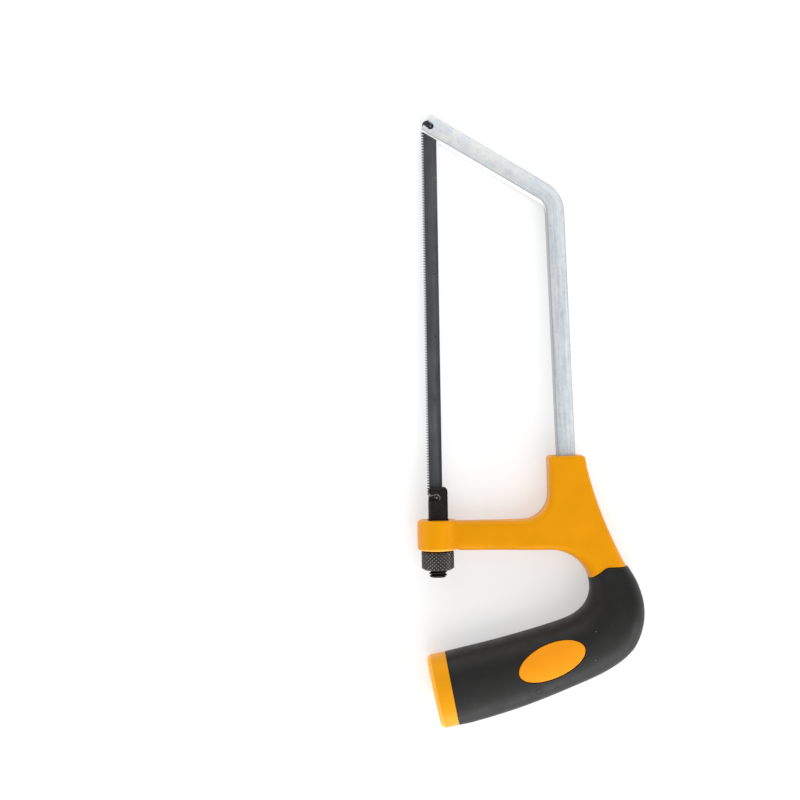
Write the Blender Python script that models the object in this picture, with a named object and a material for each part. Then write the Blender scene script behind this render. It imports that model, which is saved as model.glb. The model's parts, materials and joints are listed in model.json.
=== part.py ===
"""Mini hacksaw: a bent square bar, a moulded J-shaped handle and a pinned junior blade under tension.

Every piece is drawn in the plane of the saw: X runs across it, from the blade to the bar, Y runs along the
blade, from the handle to the tip, and Z runs through its thickness. The lower pin of the blade and the
tension bolt lie near X = 0, and the arm of the handle lies along Y = 0. One empty then lays the saw on
its side, on the underside of the grip and the tip of the bar. Lengths are metres.
"""

import math

import bmesh
import bpy
from mathutils import Matrix, Vector
from mathutils.geometry import delaunay_2d_cdt

# Fits between neighbours, and how far a cut runs past the surface that it opens
GAP = 0.0003
PAST = 0.004
WELL_PAST = 0.050

# Fineness of the round shapes
FILLET_STEPS = 4
RIM_STEPS = 3
NOTCH_STEPS = 8
SHARP_ANGLE = 35

# Blade and its two cross pins
PIN_SPACING = 0.1463
LOWER_PIN = Vector((0.0002, 0.01515, 0.0))
UPPER_PIN = LOWER_PIN + Vector((0.0, PIN_SPACING, 0.0))
PIN_RADIUS = 0.0008
PIN_LENGTH = 0.0066
PIN_CHAMFER = 0.0002
BLADE_TIPS_X = -0.00305
BLADE_BACK_X = 0.0025
BLADE_THICKNESS = 0.0006
BLADE_END = 0.00285
TOOTH_PITCH = 0.001058
TOOTH_DEPTH = 0.00065
TOOTH_FACE = 0.25
TOOTHLESS_END = 0.0040
BLADE_END_ROUND = 0.9
BLADE_END_STEPS = 6
PIN_SIDES = 16
PIN_HOLE_SIDES = 24

# Frame bar
BAR_SIDE = 0.0070
BAR_EDGE = 0.0006
BAR_TAIL_Y = -0.0020
BAR_AT_TOWER = Vector((0.0516, 0.0310))
BEND_CORNER = Vector((0.0487, 0.1324))
BEND_RADIUS = 0.0100
BEND_STEPS = 8
BAR_OVER_PIN = 0.0005
BAR_PAST_PIN = 0.00255
KERF_WIDTH = BLADE_THICKNESS + 2 * GAP
KERF_DEPTH = 0.0098
NOTCH_RISE = math.radians(9.5)
TAIL_SHOULDER = 0.0001
TAIL_PAST_TOWER = 0.0010
TAIL_WAISTS = ((0.0050, 0.0090), (0.0150, 0.0190))
TAIL_WAIST_DEPTH = 0.0010

# Tension bolt and knurled nut
BOLT_X = 0.0003
HEAD_X = 0.0007
HEAD_SIDE = 0.0076
HEAD_TOP_Y = 0.0191
HEAD_BOTTOM_Y = -0.0004
HEAD_CORNER = 0.0015
HEAD_FOOT = 0.0010
HEAD_EDGE = 0.0005
HEAD_SLOT_Y = 0.0108
HEAD_NOTCH_FALL = math.radians(10)
THREAD_CREST = 0.0036
THREAD_ROOT = 0.0029
THREAD_PITCH = 0.00125
THREAD_END_Y = -0.0164
THREAD_CHAMFER = 0.0006
THREAD_SIDES = 16
BORE_SIDES = 24
BORE_TOP_Y = 0.002
NUT_TOP_Y = -0.00605
NUT_BOTTOM_Y = -0.0135
NUT_RADIUS = 0.0065
NUT_CHAMFER = 0.0005
KNURL_DEPTH = 0.00035
KNURL_DIAMONDS = 18
KNURL_ROWS = 7
KNURL_SHARP_ANGLE = 20

# Upper moulding of the handle: boss, arm and tower
BOSS_RADIUS = 0.0079
BOSS_TOP_Y = 0.0062
BOSS_BOTTOM_Y = -0.0057
BOSS_RIM = 0.0011
BOSS_SIDES = 40
GUIDE_BOTTOM_Y = -0.0010
ARM_TOP_Y = 0.0058
ARM_BOTTOM_Y = -0.0061
ARM_BOTTOM_AT_BOSS = ((0.0, -0.0055), (0.0094, -0.00585))
ARM_HALF_DEPTH = 0.00425
ARM_RAMP_X = (0.020, 0.042)
TOWER_LEFT_X = 0.0444
TOWER_TOP_Y = 0.0309
TOWER_CORNER = 0.0014
TOWER_HALF_DEPTH = 0.0064
TOWER_FILLET = 0.0102
TOWER_FILLET_STEPS = 8
TOWER_BACK = ((0.0588, 0.0289), (0.0659, 0.0052), (0.0743, -0.0127))
TOWER_BACK_STEPS = 18
TOWER_BACK_OVERRUN = 0.5
TOWER_TOP_LEAN = 0.2
FINGER_ARC_CENTRE = (0.0448, -0.0205)
FINGER_ARC_STEPS = 11
NECK_RAMP_Y = (0.0, -0.014)
NECK_HALF_DEPTH = 0.0074
NECK_Y = -0.0200
NECK_END_Y = -0.0280
NECK_CORNER = 0.0055
YOKE_SPACING = 0.004
EDGE_TOP = 0.0009
EDGE_TOP_BAND = 0.006
EDGE_TOWER = 0.0022
EDGE_ARM = 0.0028
EDGE_NECK = 0.0048
EDGE_STEPS = 4

# Grip: finger-side edge, back edge and half depth of each section, from the neck to the end plug
GRIP_SECTIONS = (
    ((0.0562, -0.0085), (0.0722, -0.0062), 0.0076),
    ((0.0583, -0.0138), (0.0750, -0.0124), 0.0080),
    ((0.0601, -0.0196), (0.0791, -0.0200), 0.0089),
    ((0.0598, -0.0244), (0.0814, -0.0284), 0.0106),
    ((0.0580, -0.0283), (0.0808, -0.0373), 0.0118),
    ((0.0549, -0.0313), (0.0765, -0.0464), 0.0124),
    ((0.0502, -0.0337), (0.0666, -0.0540), 0.0124),
    ((0.0405, -0.0368), (0.0498, -0.0614), 0.0124),
    ((0.0246, -0.0411), (0.0320, -0.0679), 0.0124),
    ((0.0087, -0.0448), (0.0147, -0.0729), 0.0124),
    ((0.0014, -0.0464), (0.0071, -0.0744), 0.0123),
)
LAST_SECTION = len(GRIP_SECTIONS) - 1
RESTING_SECTION = 5
GRIP_STEPS = 3
GRIP_SIDES = 28
GRIP_SQUARENESS = 2.3
SLEEVE_WALL = 0.0026
CORE_WALL = 0.0030
CAVITY_FIRST = 6
BORDER_LINE = ((0.0900, -0.0130), (0.0661, -0.0132), (0.0500, -0.0250))
BORDER_FILLET = 0.0040
BORDER_STEPS = 8
PLUG_LENGTH = 0.0059
PLUG_RIM = 0.0016
BADGE_CENTRE = (0.0435, -0.0483)
BADGE_SEMI_AXES = (0.0138, 0.0065)
BADGE_TILT = math.radians(23)
BADGE_SIDES = 48

# Colour, roughness and metallic value of each piece
FINISHES = {
    "zinc": ((0.58, 0.64, 0.67), 0.32, 0.85),
    "orange": ((0.83, 0.33, 0.012), 0.45, 0.0),
    "orange_plug": ((0.89, 0.40, 0.020), 0.45, 0.0),
    "orange_badge": ((0.94, 0.33, 0.010), 0.5, 0.0),
    "soft_black": ((0.026, 0.024, 0.023), 0.55, 0.0),
    "black_oxide": ((0.024, 0.020, 0.019), 0.45, 0.6),
    "nut_black": ((0.060, 0.052, 0.048), 0.4, 0.8),
    "blade_blue": ((0.050, 0.056, 0.060), 0.38, 0.8),
    "pin_steel": ((0.20, 0.20, 0.20), 0.35, 0.9),
}


def flat(x, y):
    return Vector((x, y))


def ease(value, start, end):
    """Smooth 0 to 1 step as value goes from start to end."""
    t = min(max((value - start) / (end - start), 0.0), 1.0)
    return t * t * (3 - 2 * t)


def arc(centre, radius, start, end, steps):
    """Points of an arc from angle start to angle end, in degrees."""
    points = []
    for i in range(steps + 1):
        angle = math.radians(start + (end - start) * i / steps)
        points.append(Vector(centre) + radius * flat(math.cos(angle), math.sin(angle)))
    return points


def circle(centre, radius, sides):
    return arc(centre, radius, 0, 360, sides)[:-1]


def arc_through(first, middle, last, steps, overrun=0.0):
    """Points of the circle through three places, from first to last and a share of the arc past both."""
    a, b, c = (Vector(p) for p in (first, middle, last))
    turn = Matrix(((b - a), (c - b)))
    right = flat((b.length_squared - a.length_squared) / 2, (c.length_squared - b.length_squared) / 2)
    centre = turn.inverted() @ right
    start = math.atan2(a.y - centre.y, a.x - centre.x)
    end = math.atan2(c.y - centre.y, c.x - centre.x)
    sweep = (end - start + math.pi) % (2 * math.pi) - math.pi
    start = math.degrees(start - sweep * overrun)
    return arc(centre, (a - centre).length, start, start + math.degrees(sweep * (1 + 2 * overrun)), steps)


def fillet(before, corner, after, radius, steps):
    """Points of the arc of this radius that rounds the corner between two straight runs."""
    corner = Vector(corner)
    u = (Vector(before) - corner).normalized()
    v = (Vector(after) - corner).normalized()
    half = u.angle(v) / 2
    centre = corner + (u + v).normalized() * (radius / math.sin(half))
    start = corner + u * (radius / math.tan(half)) - centre
    end = corner + v * (radius / math.tan(half)) - centre
    sweep = start.angle_signed(end)
    points = []
    for i in range(steps + 1):
        points.append(centre + Matrix.Rotation(-sweep * i / steps, 2) @ start)
    return points


def through(rows, steps):
    """Smooth curve through rows of numbers, with steps rows for each stretch between two of them."""
    first = tuple(2 * a - b for a, b in zip(rows[0], rows[1]))
    last = tuple(2 * a - b for a, b in zip(rows[-1], rows[-2]))
    ends = (first, *rows, last)
    curve = []
    for i in range(1, len(rows)):
        for k in range(steps):
            t = k / steps
            row = []
            for a, b, c, d in zip(*ends[i - 1 : i + 3]):
                bend = 2 * a - 5 * b + 4 * c - d
                twist = 3 * b - a - 3 * c + d
                row.append(b + ((c - a) * t + bend * t**2 + twist * t**3) / 2)
            curve.append(tuple(row))
    curve.append(tuple(rows[-1]))
    return curve


def spaced(outline, longest):
    """The outline with extra points on its long straight runs."""
    points = []
    for here, after in zip(outline, outline[1:] + outline[:1]):
        count = max(1, math.ceil((after - here).length / longest))
        points.extend(here.lerp(after, i / count) for i in range(count))
    return points


def inset(outline, distances):
    """The counter-clockwise outline moved inward, by its own distance at each point."""
    points = []
    count = len(outline)
    for i, here in enumerate(outline):
        before = (here - outline[i - 1]).normalized()
        after = (outline[(i + 1) % count] - here).normalized()
        mitre = (flat(-before.y, before.x) + flat(-after.y, after.x)).normalized()
        points.append(here + mitre * (distances[i] / max(0.5, mitre.dot(flat(-before.y, before.x)))))
    return points


def one_face(layer):
    return [layer]


def loft(rings, close_end=one_face):
    """Closed body through rings of equal point counts; close_end gives the corners of each end's faces."""
    body = bmesh.new()
    layers = [[body.verts.new(point) for point in ring] for ring in rings]
    for low, high in zip(layers, layers[1:]):
        for i in range(len(low)):
            j = (i + 1) % len(low)
            body.faces.new((low[i], low[j], high[j], high[i]))
    for layer in (layers[0], layers[-1]):
        for corners in close_end(layer):
            body.faces.new(corners)
    bmesh.ops.recalc_face_normals(body, faces=body.faces)
    return body


def plan_triangles(layer):
    """Triangles that fill a layer as seen along Z, none of them flat where its points are in line."""
    found = delaunay_2d_cdt([v.co.xy for v in layer], [], [list(range(len(layer)))], 1, 1e-7)
    source = [indices[0] for indices in found[3]]
    return [[layer[source[i]] for i in triangle] for triangle in found[2]]


def prism(outline, low, high):
    """The outline extruded along Z."""
    return loft([[Vector((p.x, p.y, z)) for p in outline] for z in (low, high)])


def quarter_round(steps):
    """Points of a rim's round from its side to its face, as shares of the radius: inward and down."""
    angles = [math.pi / 2 * i / steps for i in range(steps + 1)]
    return [(1 - math.cos(angle), 1 - math.sin(angle)) for angle in angles]


def rounded_slab(outline, half_depth, edge):
    """The outline as a slab whose two rims are rounded; half_depth and edge are functions of a point."""
    edges = [edge(p) for p in outline]
    depths = [half_depth(p) for p in outline]
    rings = []
    for inward, down in reversed(quarter_round(EDGE_STEPS)):
        ring = inset(outline, [r * inward for r in edges])
        heights = [h - r * down for h, r in zip(depths, edges)]
        rings.append([Vector((p.x, p.y, z)) for p, z in zip(ring, heights)])
    lower = [[Vector((p.x, p.y, -p.z)) for p in ring] for ring in reversed(rings)]
    return loft(rings + lower, plan_triangles)


def turned(profile, sides, centre_x):
    """The (radius, y) profile turned about the line X = centre_x, Z = 0."""
    rings = []
    for radius, y in profile:
        ring = []
        for i in range(sides):
            angle = 2 * math.pi * i / sides
            ring.append(Vector((centre_x + radius * math.cos(angle), y, radius * math.sin(angle))))
        rings.append(ring)
    return loft(rings)


def add_object(name, body, origin=Vector((0, 0, 0))):
    """A new object from the body, with its own origin at this point of the saw's plane."""
    mesh = bpy.data.meshes.new(name)
    bmesh.ops.translate(body, verts=body.verts, vec=-origin)
    body.to_mesh(mesh)
    body.free()
    made = bpy.data.objects.new(name, mesh)
    bpy.context.collection.objects.link(made)
    made.location = origin
    return made


def combine(target, body, operation):
    """Joins the body to the target, cuts it away or keeps only what both share."""
    tool = add_object("tool", body)
    bpy.context.view_layer.update()
    modifier = target.modifiers.new(operation.lower(), "BOOLEAN")
    modifier.object = tool
    modifier.operation = operation
    bpy.context.view_layer.update()
    graph = bpy.context.evaluated_depsgraph_get()
    mesh = bpy.data.meshes.new_from_object(target.evaluated_get(graph))
    target.modifiers.clear()
    target.data = mesh
    bpy.data.objects.remove(tool)


def finish(made, finish_name, parent, sharp=SHARP_ANGLE):
    """Sets the piece's material and shading, and hangs it on its parent where it is."""
    colour, roughness, metallic = FINISHES[finish_name]
    material = bpy.data.materials.new(made.name)
    material.use_nodes = True
    shader = material.node_tree.nodes["Principled BSDF"]
    shader.inputs["Base Color"].default_value = (*colour, 1.0)
    shader.inputs["Roughness"].default_value = roughness
    shader.inputs["Metallic"].default_value = metallic
    made.data.materials.clear()
    made.data.materials.append(material)
    made.data.shade_smooth()
    made.data.set_sharp_from_angle(angle=math.radians(sharp))
    bpy.context.view_layer.update()
    made.parent = parent
    made.matrix_parent_inverse = parent.matrix_world.inverted()
    return made


def bar_direction():
    """Unit vector of the bent run of the bar, from the bend to the tip, and the point beside the pin."""
    pin = UPPER_PIN.xy
    run = (pin - BEND_CORNER).normalized()
    across = flat(run.y, -run.x)
    beside_pin = pin + across * BAR_OVER_PIN
    return (beside_pin - BEND_CORNER).normalized(), beside_pin


def notch_direction():
    """Unit vector along which the upper pin leaves its notch, a little steeper than the bent run."""
    run, _ = bar_direction()
    return Matrix.Rotation(-NOTCH_RISE, 2) @ run


def square_ring(centre, along, half_across, half_depth, corner):
    """Rounded rectangle about a point of the bar, square to the direction of the bar there."""
    across = flat(along.y, -along.x)
    ring = []
    for quarter, (side, level) in enumerate(((1, 1), (-1, 1), (-1, -1), (1, -1))):
        for step in range(3):
            angle = math.pi / 2 * (quarter + step / 2)
            reach = side * (half_across - corner) + corner * math.cos(angle)
            height = level * (half_depth - corner) + corner * math.sin(angle)
            spot = centre + across * reach
            ring.append(Vector((spot.x, spot.y, height)))
    return ring


def bar_tail_rings(clearance):
    """Rings of the slimmer tail in the tower, with its waists, grown by a clearance for the pocket."""
    along = (BEND_CORNER - BAR_AT_TOWER).normalized()
    low = BAR_AT_TOWER + along * ((BAR_TAIL_Y - BAR_AT_TOWER.y) / along.y)
    half = BAR_SIDE / 2 - TAIL_SHOULDER + clearance
    waist = half - TAIL_WAIST_DEPTH
    stops = [(-clearance, half)]
    for start, end in TAIL_WAISTS:
        stops.append((start + clearance, half))
        stops.append((start + clearance + TAIL_WAIST_DEPTH, waist))
        stops.append((end - clearance - TAIL_WAIST_DEPTH, waist))
        stops.append((end - clearance, half))
    corner = BAR_EDGE + clearance
    return [square_ring(low + along * s, along, width, half, corner) for s, width in stops], along


def make_frame_bar(root):
    rings, along = bar_tail_rings(0.0)
    run, beside_pin = bar_direction()
    half = BAR_SIDE / 2
    shoulder = BAR_AT_TOWER + along * TAIL_PAST_TOWER
    for reach in (half - TAIL_SHOULDER, half):
        rings.append(square_ring(shoulder, along, reach, reach, BAR_EDGE))
    bend = fillet(BAR_AT_TOWER, BEND_CORNER, beside_pin, BEND_RADIUS, BEND_STEPS)
    for i, spot in enumerate(bend):
        turned_by = along.angle_signed(run) * i / BEND_STEPS
        rings.append(square_ring(spot, Matrix.Rotation(-turned_by, 2) @ along, half, half, BAR_EDGE))
    tip = beside_pin + run * BAR_PAST_PIN
    rings.append(square_ring(tip - run * BAR_EDGE, run, half, half, BAR_EDGE))
    rings.append(square_ring(tip, run, half - BAR_EDGE / 2, half - BAR_EDGE / 2, BAR_EDGE / 2))
    bar = add_object("frame_bar", loft(rings))

    across = flat(run.y, -run.x)
    kerf = []
    for reach, side in ((-KERF_DEPTH, -1), (PAST, -1), (PAST, 1), (-KERF_DEPTH, 1)):
        kerf.append(tip + run * reach + across * (side * BAR_SIDE))
    combine(bar, prism(kerf, -KERF_WIDTH / 2, KERF_WIDTH / 2), "DIFFERENCE")

    way_out = notch_direction()
    back = math.degrees(math.atan2(-way_out.y, -way_out.x))
    notch = arc(UPPER_PIN.xy, PIN_RADIUS + GAP, back - 90, back + 90, NOTCH_STEPS)
    notch.append(notch[-1] + way_out * (BAR_PAST_PIN + PAST))
    notch.append(notch[0] + way_out * (BAR_PAST_PIN + PAST))
    combine(bar, prism(notch, -BAR_SIDE, BAR_SIDE), "DIFFERENCE")
    return finish(bar, "zinc", root)


def yoke_outline():
    """Outline of the arm, the tower and the neck, counter-clockwise from the boss."""
    centre_x, centre_y = FINGER_ARC_CENTRE
    finger_radius = ARM_BOTTOM_Y - centre_y
    outline = [flat(*place) for place in ARM_BOTTOM_AT_BOSS]
    outline += arc(FINGER_ARC_CENTRE, finger_radius, 90, 0, FINGER_ARC_STEPS)
    back = arc_through(*TOWER_BACK, TOWER_BACK_STEPS, TOWER_BACK_OVERRUN)
    back = [p for p in reversed(back) if NECK_Y < p.y < TOWER_BACK[0][1]]
    low_left = flat(centre_x + finger_radius, NECK_END_Y)
    low_right = flat(back[0].x, NECK_END_Y)
    outline += fillet(outline[-1], low_left, low_right, NECK_CORNER, FILLET_STEPS)
    outline += fillet(low_left, low_right, back[0], NECK_CORNER, FILLET_STEPS)
    outline += back
    top_right = flat(back[-1].x - (TOWER_TOP_Y - back[-1].y) * TOWER_TOP_LEAN, TOWER_TOP_Y)
    top_left = flat(TOWER_LEFT_X, TOWER_TOP_Y)
    outline += fillet(back[-1], top_right, top_left, TOWER_CORNER, FILLET_STEPS)
    outline += fillet(top_right, top_left, flat(TOWER_LEFT_X, 0), TOWER_CORNER, FILLET_STEPS)
    corner = flat(TOWER_LEFT_X, ARM_TOP_Y)
    outline += fillet(top_left, corner, flat(0, ARM_TOP_Y), TOWER_FILLET, TOWER_FILLET_STEPS)
    outline.append(flat(0.0, ARM_TOP_Y))
    return spaced(outline, YOKE_SPACING)


def yoke_half_depth(p):
    tower = ease(p.x, *ARM_RAMP_X)
    neck = ease(p.y, *NECK_RAMP_Y) * tower
    rise = (TOWER_HALF_DEPTH - ARM_HALF_DEPTH) * tower
    return ARM_HALF_DEPTH + rise + (NECK_HALF_DEPTH - TOWER_HALF_DEPTH) * neck


def yoke_edge(p):
    tower = ease(p.x, *ARM_RAMP_X)
    side = EDGE_ARM + (EDGE_TOWER - EDGE_ARM) * tower
    side += (EDGE_NECK - EDGE_TOWER) * ease(p.y, *NECK_RAMP_Y) * tower
    top = ease(p.y, TOWER_TOP_Y - EDGE_TOP_BAND, TOWER_TOP_Y - TOWER_CORNER)
    return side + (EDGE_TOP - side) * top


def grip_rings(wall, first, last, stretch=0.0):
    """Rings of the grip's surface moved in by a wall, from one section to another and a stretch past it."""
    rows = [(*finger, *back, depth) for finger, back, depth in GRIP_SECTIONS]
    curve = through(rows, GRIP_STEPS)[first * GRIP_STEPS : last * GRIP_STEPS + 1]
    rings = [grip_ring(row, wall) for row in curve]
    if stretch:
        rings.append([p + grip_end_direction() * stretch for p in rings[-1]])
    return rings


def squared(share):
    """A sine or cosine pushed outward, which turns an ellipse into a slightly squarer section."""
    return math.copysign(abs(share) ** (2 / GRIP_SQUARENESS), share)


def grip_ring(row, wall):
    """Section of the grip, from its finger-side edge, back edge and half depth, moved in by a wall."""
    finger = flat(row[0], row[1])
    back = flat(row[2], row[3])
    reach = (back - finger) / 2
    half_width = reach.length - wall
    half_depth = row[4] - wall
    ring = []
    for i in range(GRIP_SIDES):
        angle = 2 * math.pi * i / GRIP_SIDES
        spot = (finger + back) / 2 + reach.normalized() * (half_width * squared(math.cos(angle)))
        ring.append(Vector((spot.x, spot.y, half_depth * squared(math.sin(angle)))))
    return ring


def grip_end_direction():
    """Unit vector square to the last section of the grip, out of its end."""
    finger, back, _ = GRIP_SECTIONS[-1]
    reach = (Vector(back) - Vector(finger)).normalized()
    return Vector((reach.y, -reach.x, 0.0))


def border_cutter(offset, above):
    """Block on one side of the line where the sleeve starts on the neck, moved along Y by an offset."""
    start, corner, end = (flat(x, y + offset) for x, y in BORDER_LINE)
    line = [start, *fillet(start, corner, end, BORDER_FILLET, BORDER_STEPS), end]
    reach = WELL_PAST if above else -WELL_PAST
    line.append(flat(end.x, start.y + reach))
    line.append(flat(start.x, start.y + reach))
    return prism(line, -WELL_PAST, WELL_PAST)


def badge_outline(clearance):
    """Oval of the badge, or of its window with a clearance."""
    half_long, half_short = BADGE_SEMI_AXES
    turn = Matrix.Rotation(BADGE_TILT, 2)
    points = []
    for i in range(BADGE_SIDES):
        angle = 2 * math.pi * i / BADGE_SIDES
        spot = flat((half_long + clearance) * math.cos(angle), (half_short + clearance) * math.sin(angle))
        points.append(Vector(BADGE_CENTRE) + turn @ spot)
    return points


def make_handle_core(root):
    core = add_object("handle_core", rounded_slab(yoke_outline(), yoke_half_depth, yoke_edge))
    combine(core, border_cutter(GAP, above=False), "DIFFERENCE")
    rim = [(BOSS_RADIUS - BOSS_RIM * inward, BOSS_RIM * down) for inward, down in quarter_round(RIM_STEPS)]
    profile = [(radius, BOSS_TOP_Y - drop) for radius, drop in reversed(rim)]
    profile += [(radius, BOSS_BOTTOM_Y + drop) for radius, drop in rim]
    combine(core, turned(profile, BOSS_SIDES, BOLT_X), "UNION")
    combine(core, loft(grip_rings(SLEEVE_WALL, 0, LAST_SECTION)), "UNION")
    cavity = grip_rings(SLEEVE_WALL + CORE_WALL, CAVITY_FIRST, LAST_SECTION, PAST)
    combine(core, loft(cavity), "DIFFERENCE")

    pocket, along = bar_tail_rings(GAP)
    pocket.append([p + Vector((*along, 0)) * WELL_PAST for p in pocket[-1]])
    combine(core, loft(pocket), "DIFFERENCE")

    guide = HEAD_SIDE / 2 + GAP
    low = flat(HEAD_X, GUIDE_BOTTOM_Y)
    high = flat(HEAD_X, BOSS_TOP_Y + PAST)
    rings = [square_ring(spot, flat(0, 1), guide, guide, HEAD_EDGE + GAP) for spot in (low, high)]
    combine(core, loft(rings), "DIFFERENCE")
    bore = THREAD_CREST + GAP
    drill = [(bore, BORE_TOP_Y), (bore, BOSS_BOTTOM_Y - PAST)]
    combine(core, turned(drill, BORE_SIDES, BOLT_X), "DIFFERENCE")
    return finish(core, "orange", root)


def grip_shell(name):
    """Hollow skin of the grip, from the neck to the end plug."""
    shell = add_object(name, loft(grip_rings(0.0, 0, LAST_SECTION)))
    bore = grip_rings(SLEEVE_WALL - GAP, 0, LAST_SECTION, PAST)
    combine(shell, loft(bore), "DIFFERENCE")
    return shell


def make_grip_sleeve(root):
    sleeve = grip_shell("grip_sleeve")
    combine(sleeve, border_cutter(0.0, above=True), "DIFFERENCE")
    combine(sleeve, prism(badge_outline(GAP), -WELL_PAST, WELL_PAST), "DIFFERENCE")
    return finish(sleeve, "soft_black", root)


def make_badge(root, name, side):
    badge = grip_shell(name)
    low, high = sorted((0.0, WELL_PAST * side))
    combine(badge, prism(badge_outline(0.0), low, high), "INTERSECT")
    return finish(badge, "orange_badge", root)


def make_end_plug(root):
    """Cap with a rounded rim, and the spigot that plugs the hollow core behind it."""
    out = grip_end_direction()
    spigot = SLEEVE_WALL + CORE_WALL + GAP
    rings = grip_rings(spigot, LAST_SECTION - 1, LAST_SECTION)
    finger, back, depth = GRIP_SECTIONS[-1]
    stops = [(spigot, GAP), (0.0, GAP)]
    for inward, down in quarter_round(RIM_STEPS):
        stops.append((PLUG_RIM * inward, PLUG_LENGTH - PLUG_RIM * down))
    for wall, distance in stops:
        rings.append([p + out * distance for p in grip_ring((*finger, *back, depth), wall)])
    return finish(add_object("end_plug", loft(rings)), "orange_plug", root)


def threaded_rod():
    """Rod with one right-hand helical ridge, pointed past both ends so that it can be trimmed."""
    body = bmesh.new()
    low = THREAD_END_Y - THREAD_PITCH
    turns = math.ceil((HEAD_BOTTOM_Y + PAST - low) / THREAD_PITCH)
    steps = turns * THREAD_SIDES

    def place(radius, step, lift):
        angle = 2 * math.pi * step / THREAD_SIDES
        y = low + THREAD_PITCH * (step / THREAD_SIDES + lift)
        return body.verts.new((BOLT_X + radius * math.sin(angle), y, radius * math.cos(angle)))

    roots = [place(THREAD_ROOT, i, 0.0) for i in range(steps + THREAD_SIDES + 1)]
    crests = [place(THREAD_CREST, i, 0.5) for i in range(steps + 1)]
    for i in range(steps):
        body.faces.new((roots[i], roots[i + 1], crests[i + 1], crests[i]))
        body.faces.new((crests[i], crests[i + 1], roots[i + THREAD_SIDES + 1], roots[i + THREAD_SIDES]))
    for end, y in ((0, low - THREAD_PITCH), (steps, low + (turns + 2) * THREAD_PITCH)):
        loop = roots[end : end + THREAD_SIDES + 1] + [crests[end]]
        tip = body.verts.new((BOLT_X, y, 0.0))
        for here, after in zip(loop, loop[1:] + loop[:1]):
            body.faces.new((here, after, tip))
    bmesh.ops.recalc_face_normals(body, faces=body.faces)
    return body


def make_tension_bolt(root):
    origin = Vector((BOLT_X, 0, 0))
    bolt = add_object("tension_bolt", threaded_rod(), origin)
    trim = [
        (THREAD_CREST + GAP, HEAD_BOTTOM_Y + HEAD_EDGE),
        (THREAD_CREST + GAP, THREAD_END_Y + THREAD_CHAMFER + GAP),
        (THREAD_CREST - THREAD_CHAMFER, THREAD_END_Y),
    ]
    combine(bolt, turned(trim, BORE_SIDES, BOLT_X), "INTERSECT")

    half = HEAD_SIDE / 2
    left, right = HEAD_X - half, HEAD_X + half
    corners = [flat(left, HEAD_BOTTOM_Y), flat(right, HEAD_BOTTOM_Y)]
    corners += [flat(right, HEAD_TOP_Y), flat(left, HEAD_TOP_Y)]
    outline = []
    for i, radius in enumerate((HEAD_FOOT, HEAD_FOOT, HEAD_CORNER, HEAD_CORNER)):
        outline += fillet(corners[i - 1], corners[i], corners[(i + 1) % 4], radius, FILLET_STEPS)
    combine(bolt, rounded_slab(outline, lambda p: half, lambda p: HEAD_EDGE), "UNION")

    slot = [flat(left - PAST, HEAD_SLOT_Y), flat(right + PAST, HEAD_SLOT_Y)]
    slot += [flat(right + PAST, HEAD_TOP_Y + PAST), flat(left - PAST, HEAD_TOP_Y + PAST)]
    combine(bolt, prism(slot, -KERF_WIDTH / 2, KERF_WIDTH / 2), "DIFFERENCE")

    fall = math.degrees(HEAD_NOTCH_FALL)
    mouth = flat(-math.cos(HEAD_NOTCH_FALL), -math.sin(HEAD_NOTCH_FALL)) * HEAD_SIDE
    notch = arc(LOWER_PIN.xy, PIN_RADIUS + GAP, fall - 90, fall + 90, NOTCH_STEPS)
    notch.append(notch[-1] + mouth)
    notch.append(notch[0] + mouth)
    combine(bolt, prism(notch, -HEAD_SIDE, HEAD_SIDE), "DIFFERENCE")
    return finish(bolt, "black_oxide", root)


def make_knurled_nut(root):
    """Ring whose outer wall zigzags between crest and groove in both directions, which makes diamonds."""
    columns = 2 * KNURL_DIAMONDS
    groove = NUT_RADIUS - KNURL_DEPTH
    face = groove - NUT_CHAMFER
    bore = THREAD_CREST + GAP
    high, low = NUT_TOP_Y - NUT_CHAMFER, NUT_BOTTOM_Y + NUT_CHAMFER
    stops = [(bore, bore, NUT_TOP_Y), (face, face, NUT_TOP_Y)]
    for row in range(KNURL_ROWS + 1):
        pair = (NUT_RADIUS, groove) if row % 2 else (groove, NUT_RADIUS)
        stops.append((*pair, high + (low - high) * row / KNURL_ROWS))
    stops += [(face, face, NUT_BOTTOM_Y), (bore, bore, NUT_BOTTOM_Y)]

    body = bmesh.new()
    layers = []
    for even, odd, y in stops:
        layer = []
        for i in range(columns):
            angle = 2 * math.pi * i / columns
            radius = odd if i % 2 else even
            layer.append(body.verts.new((BOLT_X + radius * math.cos(angle), y, radius * math.sin(angle))))
        layers.append(layer)
    layers.append(layers[0])
    for row, (here, after) in enumerate(zip(layers, layers[1:])):
        for i in range(columns):
            j = (i + 1) % columns
            if (i + row) % 2:
                body.faces.new((here[i], here[j], after[i]))
                body.faces.new((here[j], after[j], after[i]))
            else:
                body.faces.new((here[i], here[j], after[j]))
                body.faces.new((here[i], after[j], after[i]))
    bmesh.ops.recalc_face_normals(body, faces=body.faces)
    middle = Vector((BOLT_X, (NUT_TOP_Y + NUT_BOTTOM_Y) / 2, 0))
    return finish(add_object("knurled_nut", body, middle), "nut_black", root, KNURL_SHARP_ANGLE)


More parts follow.
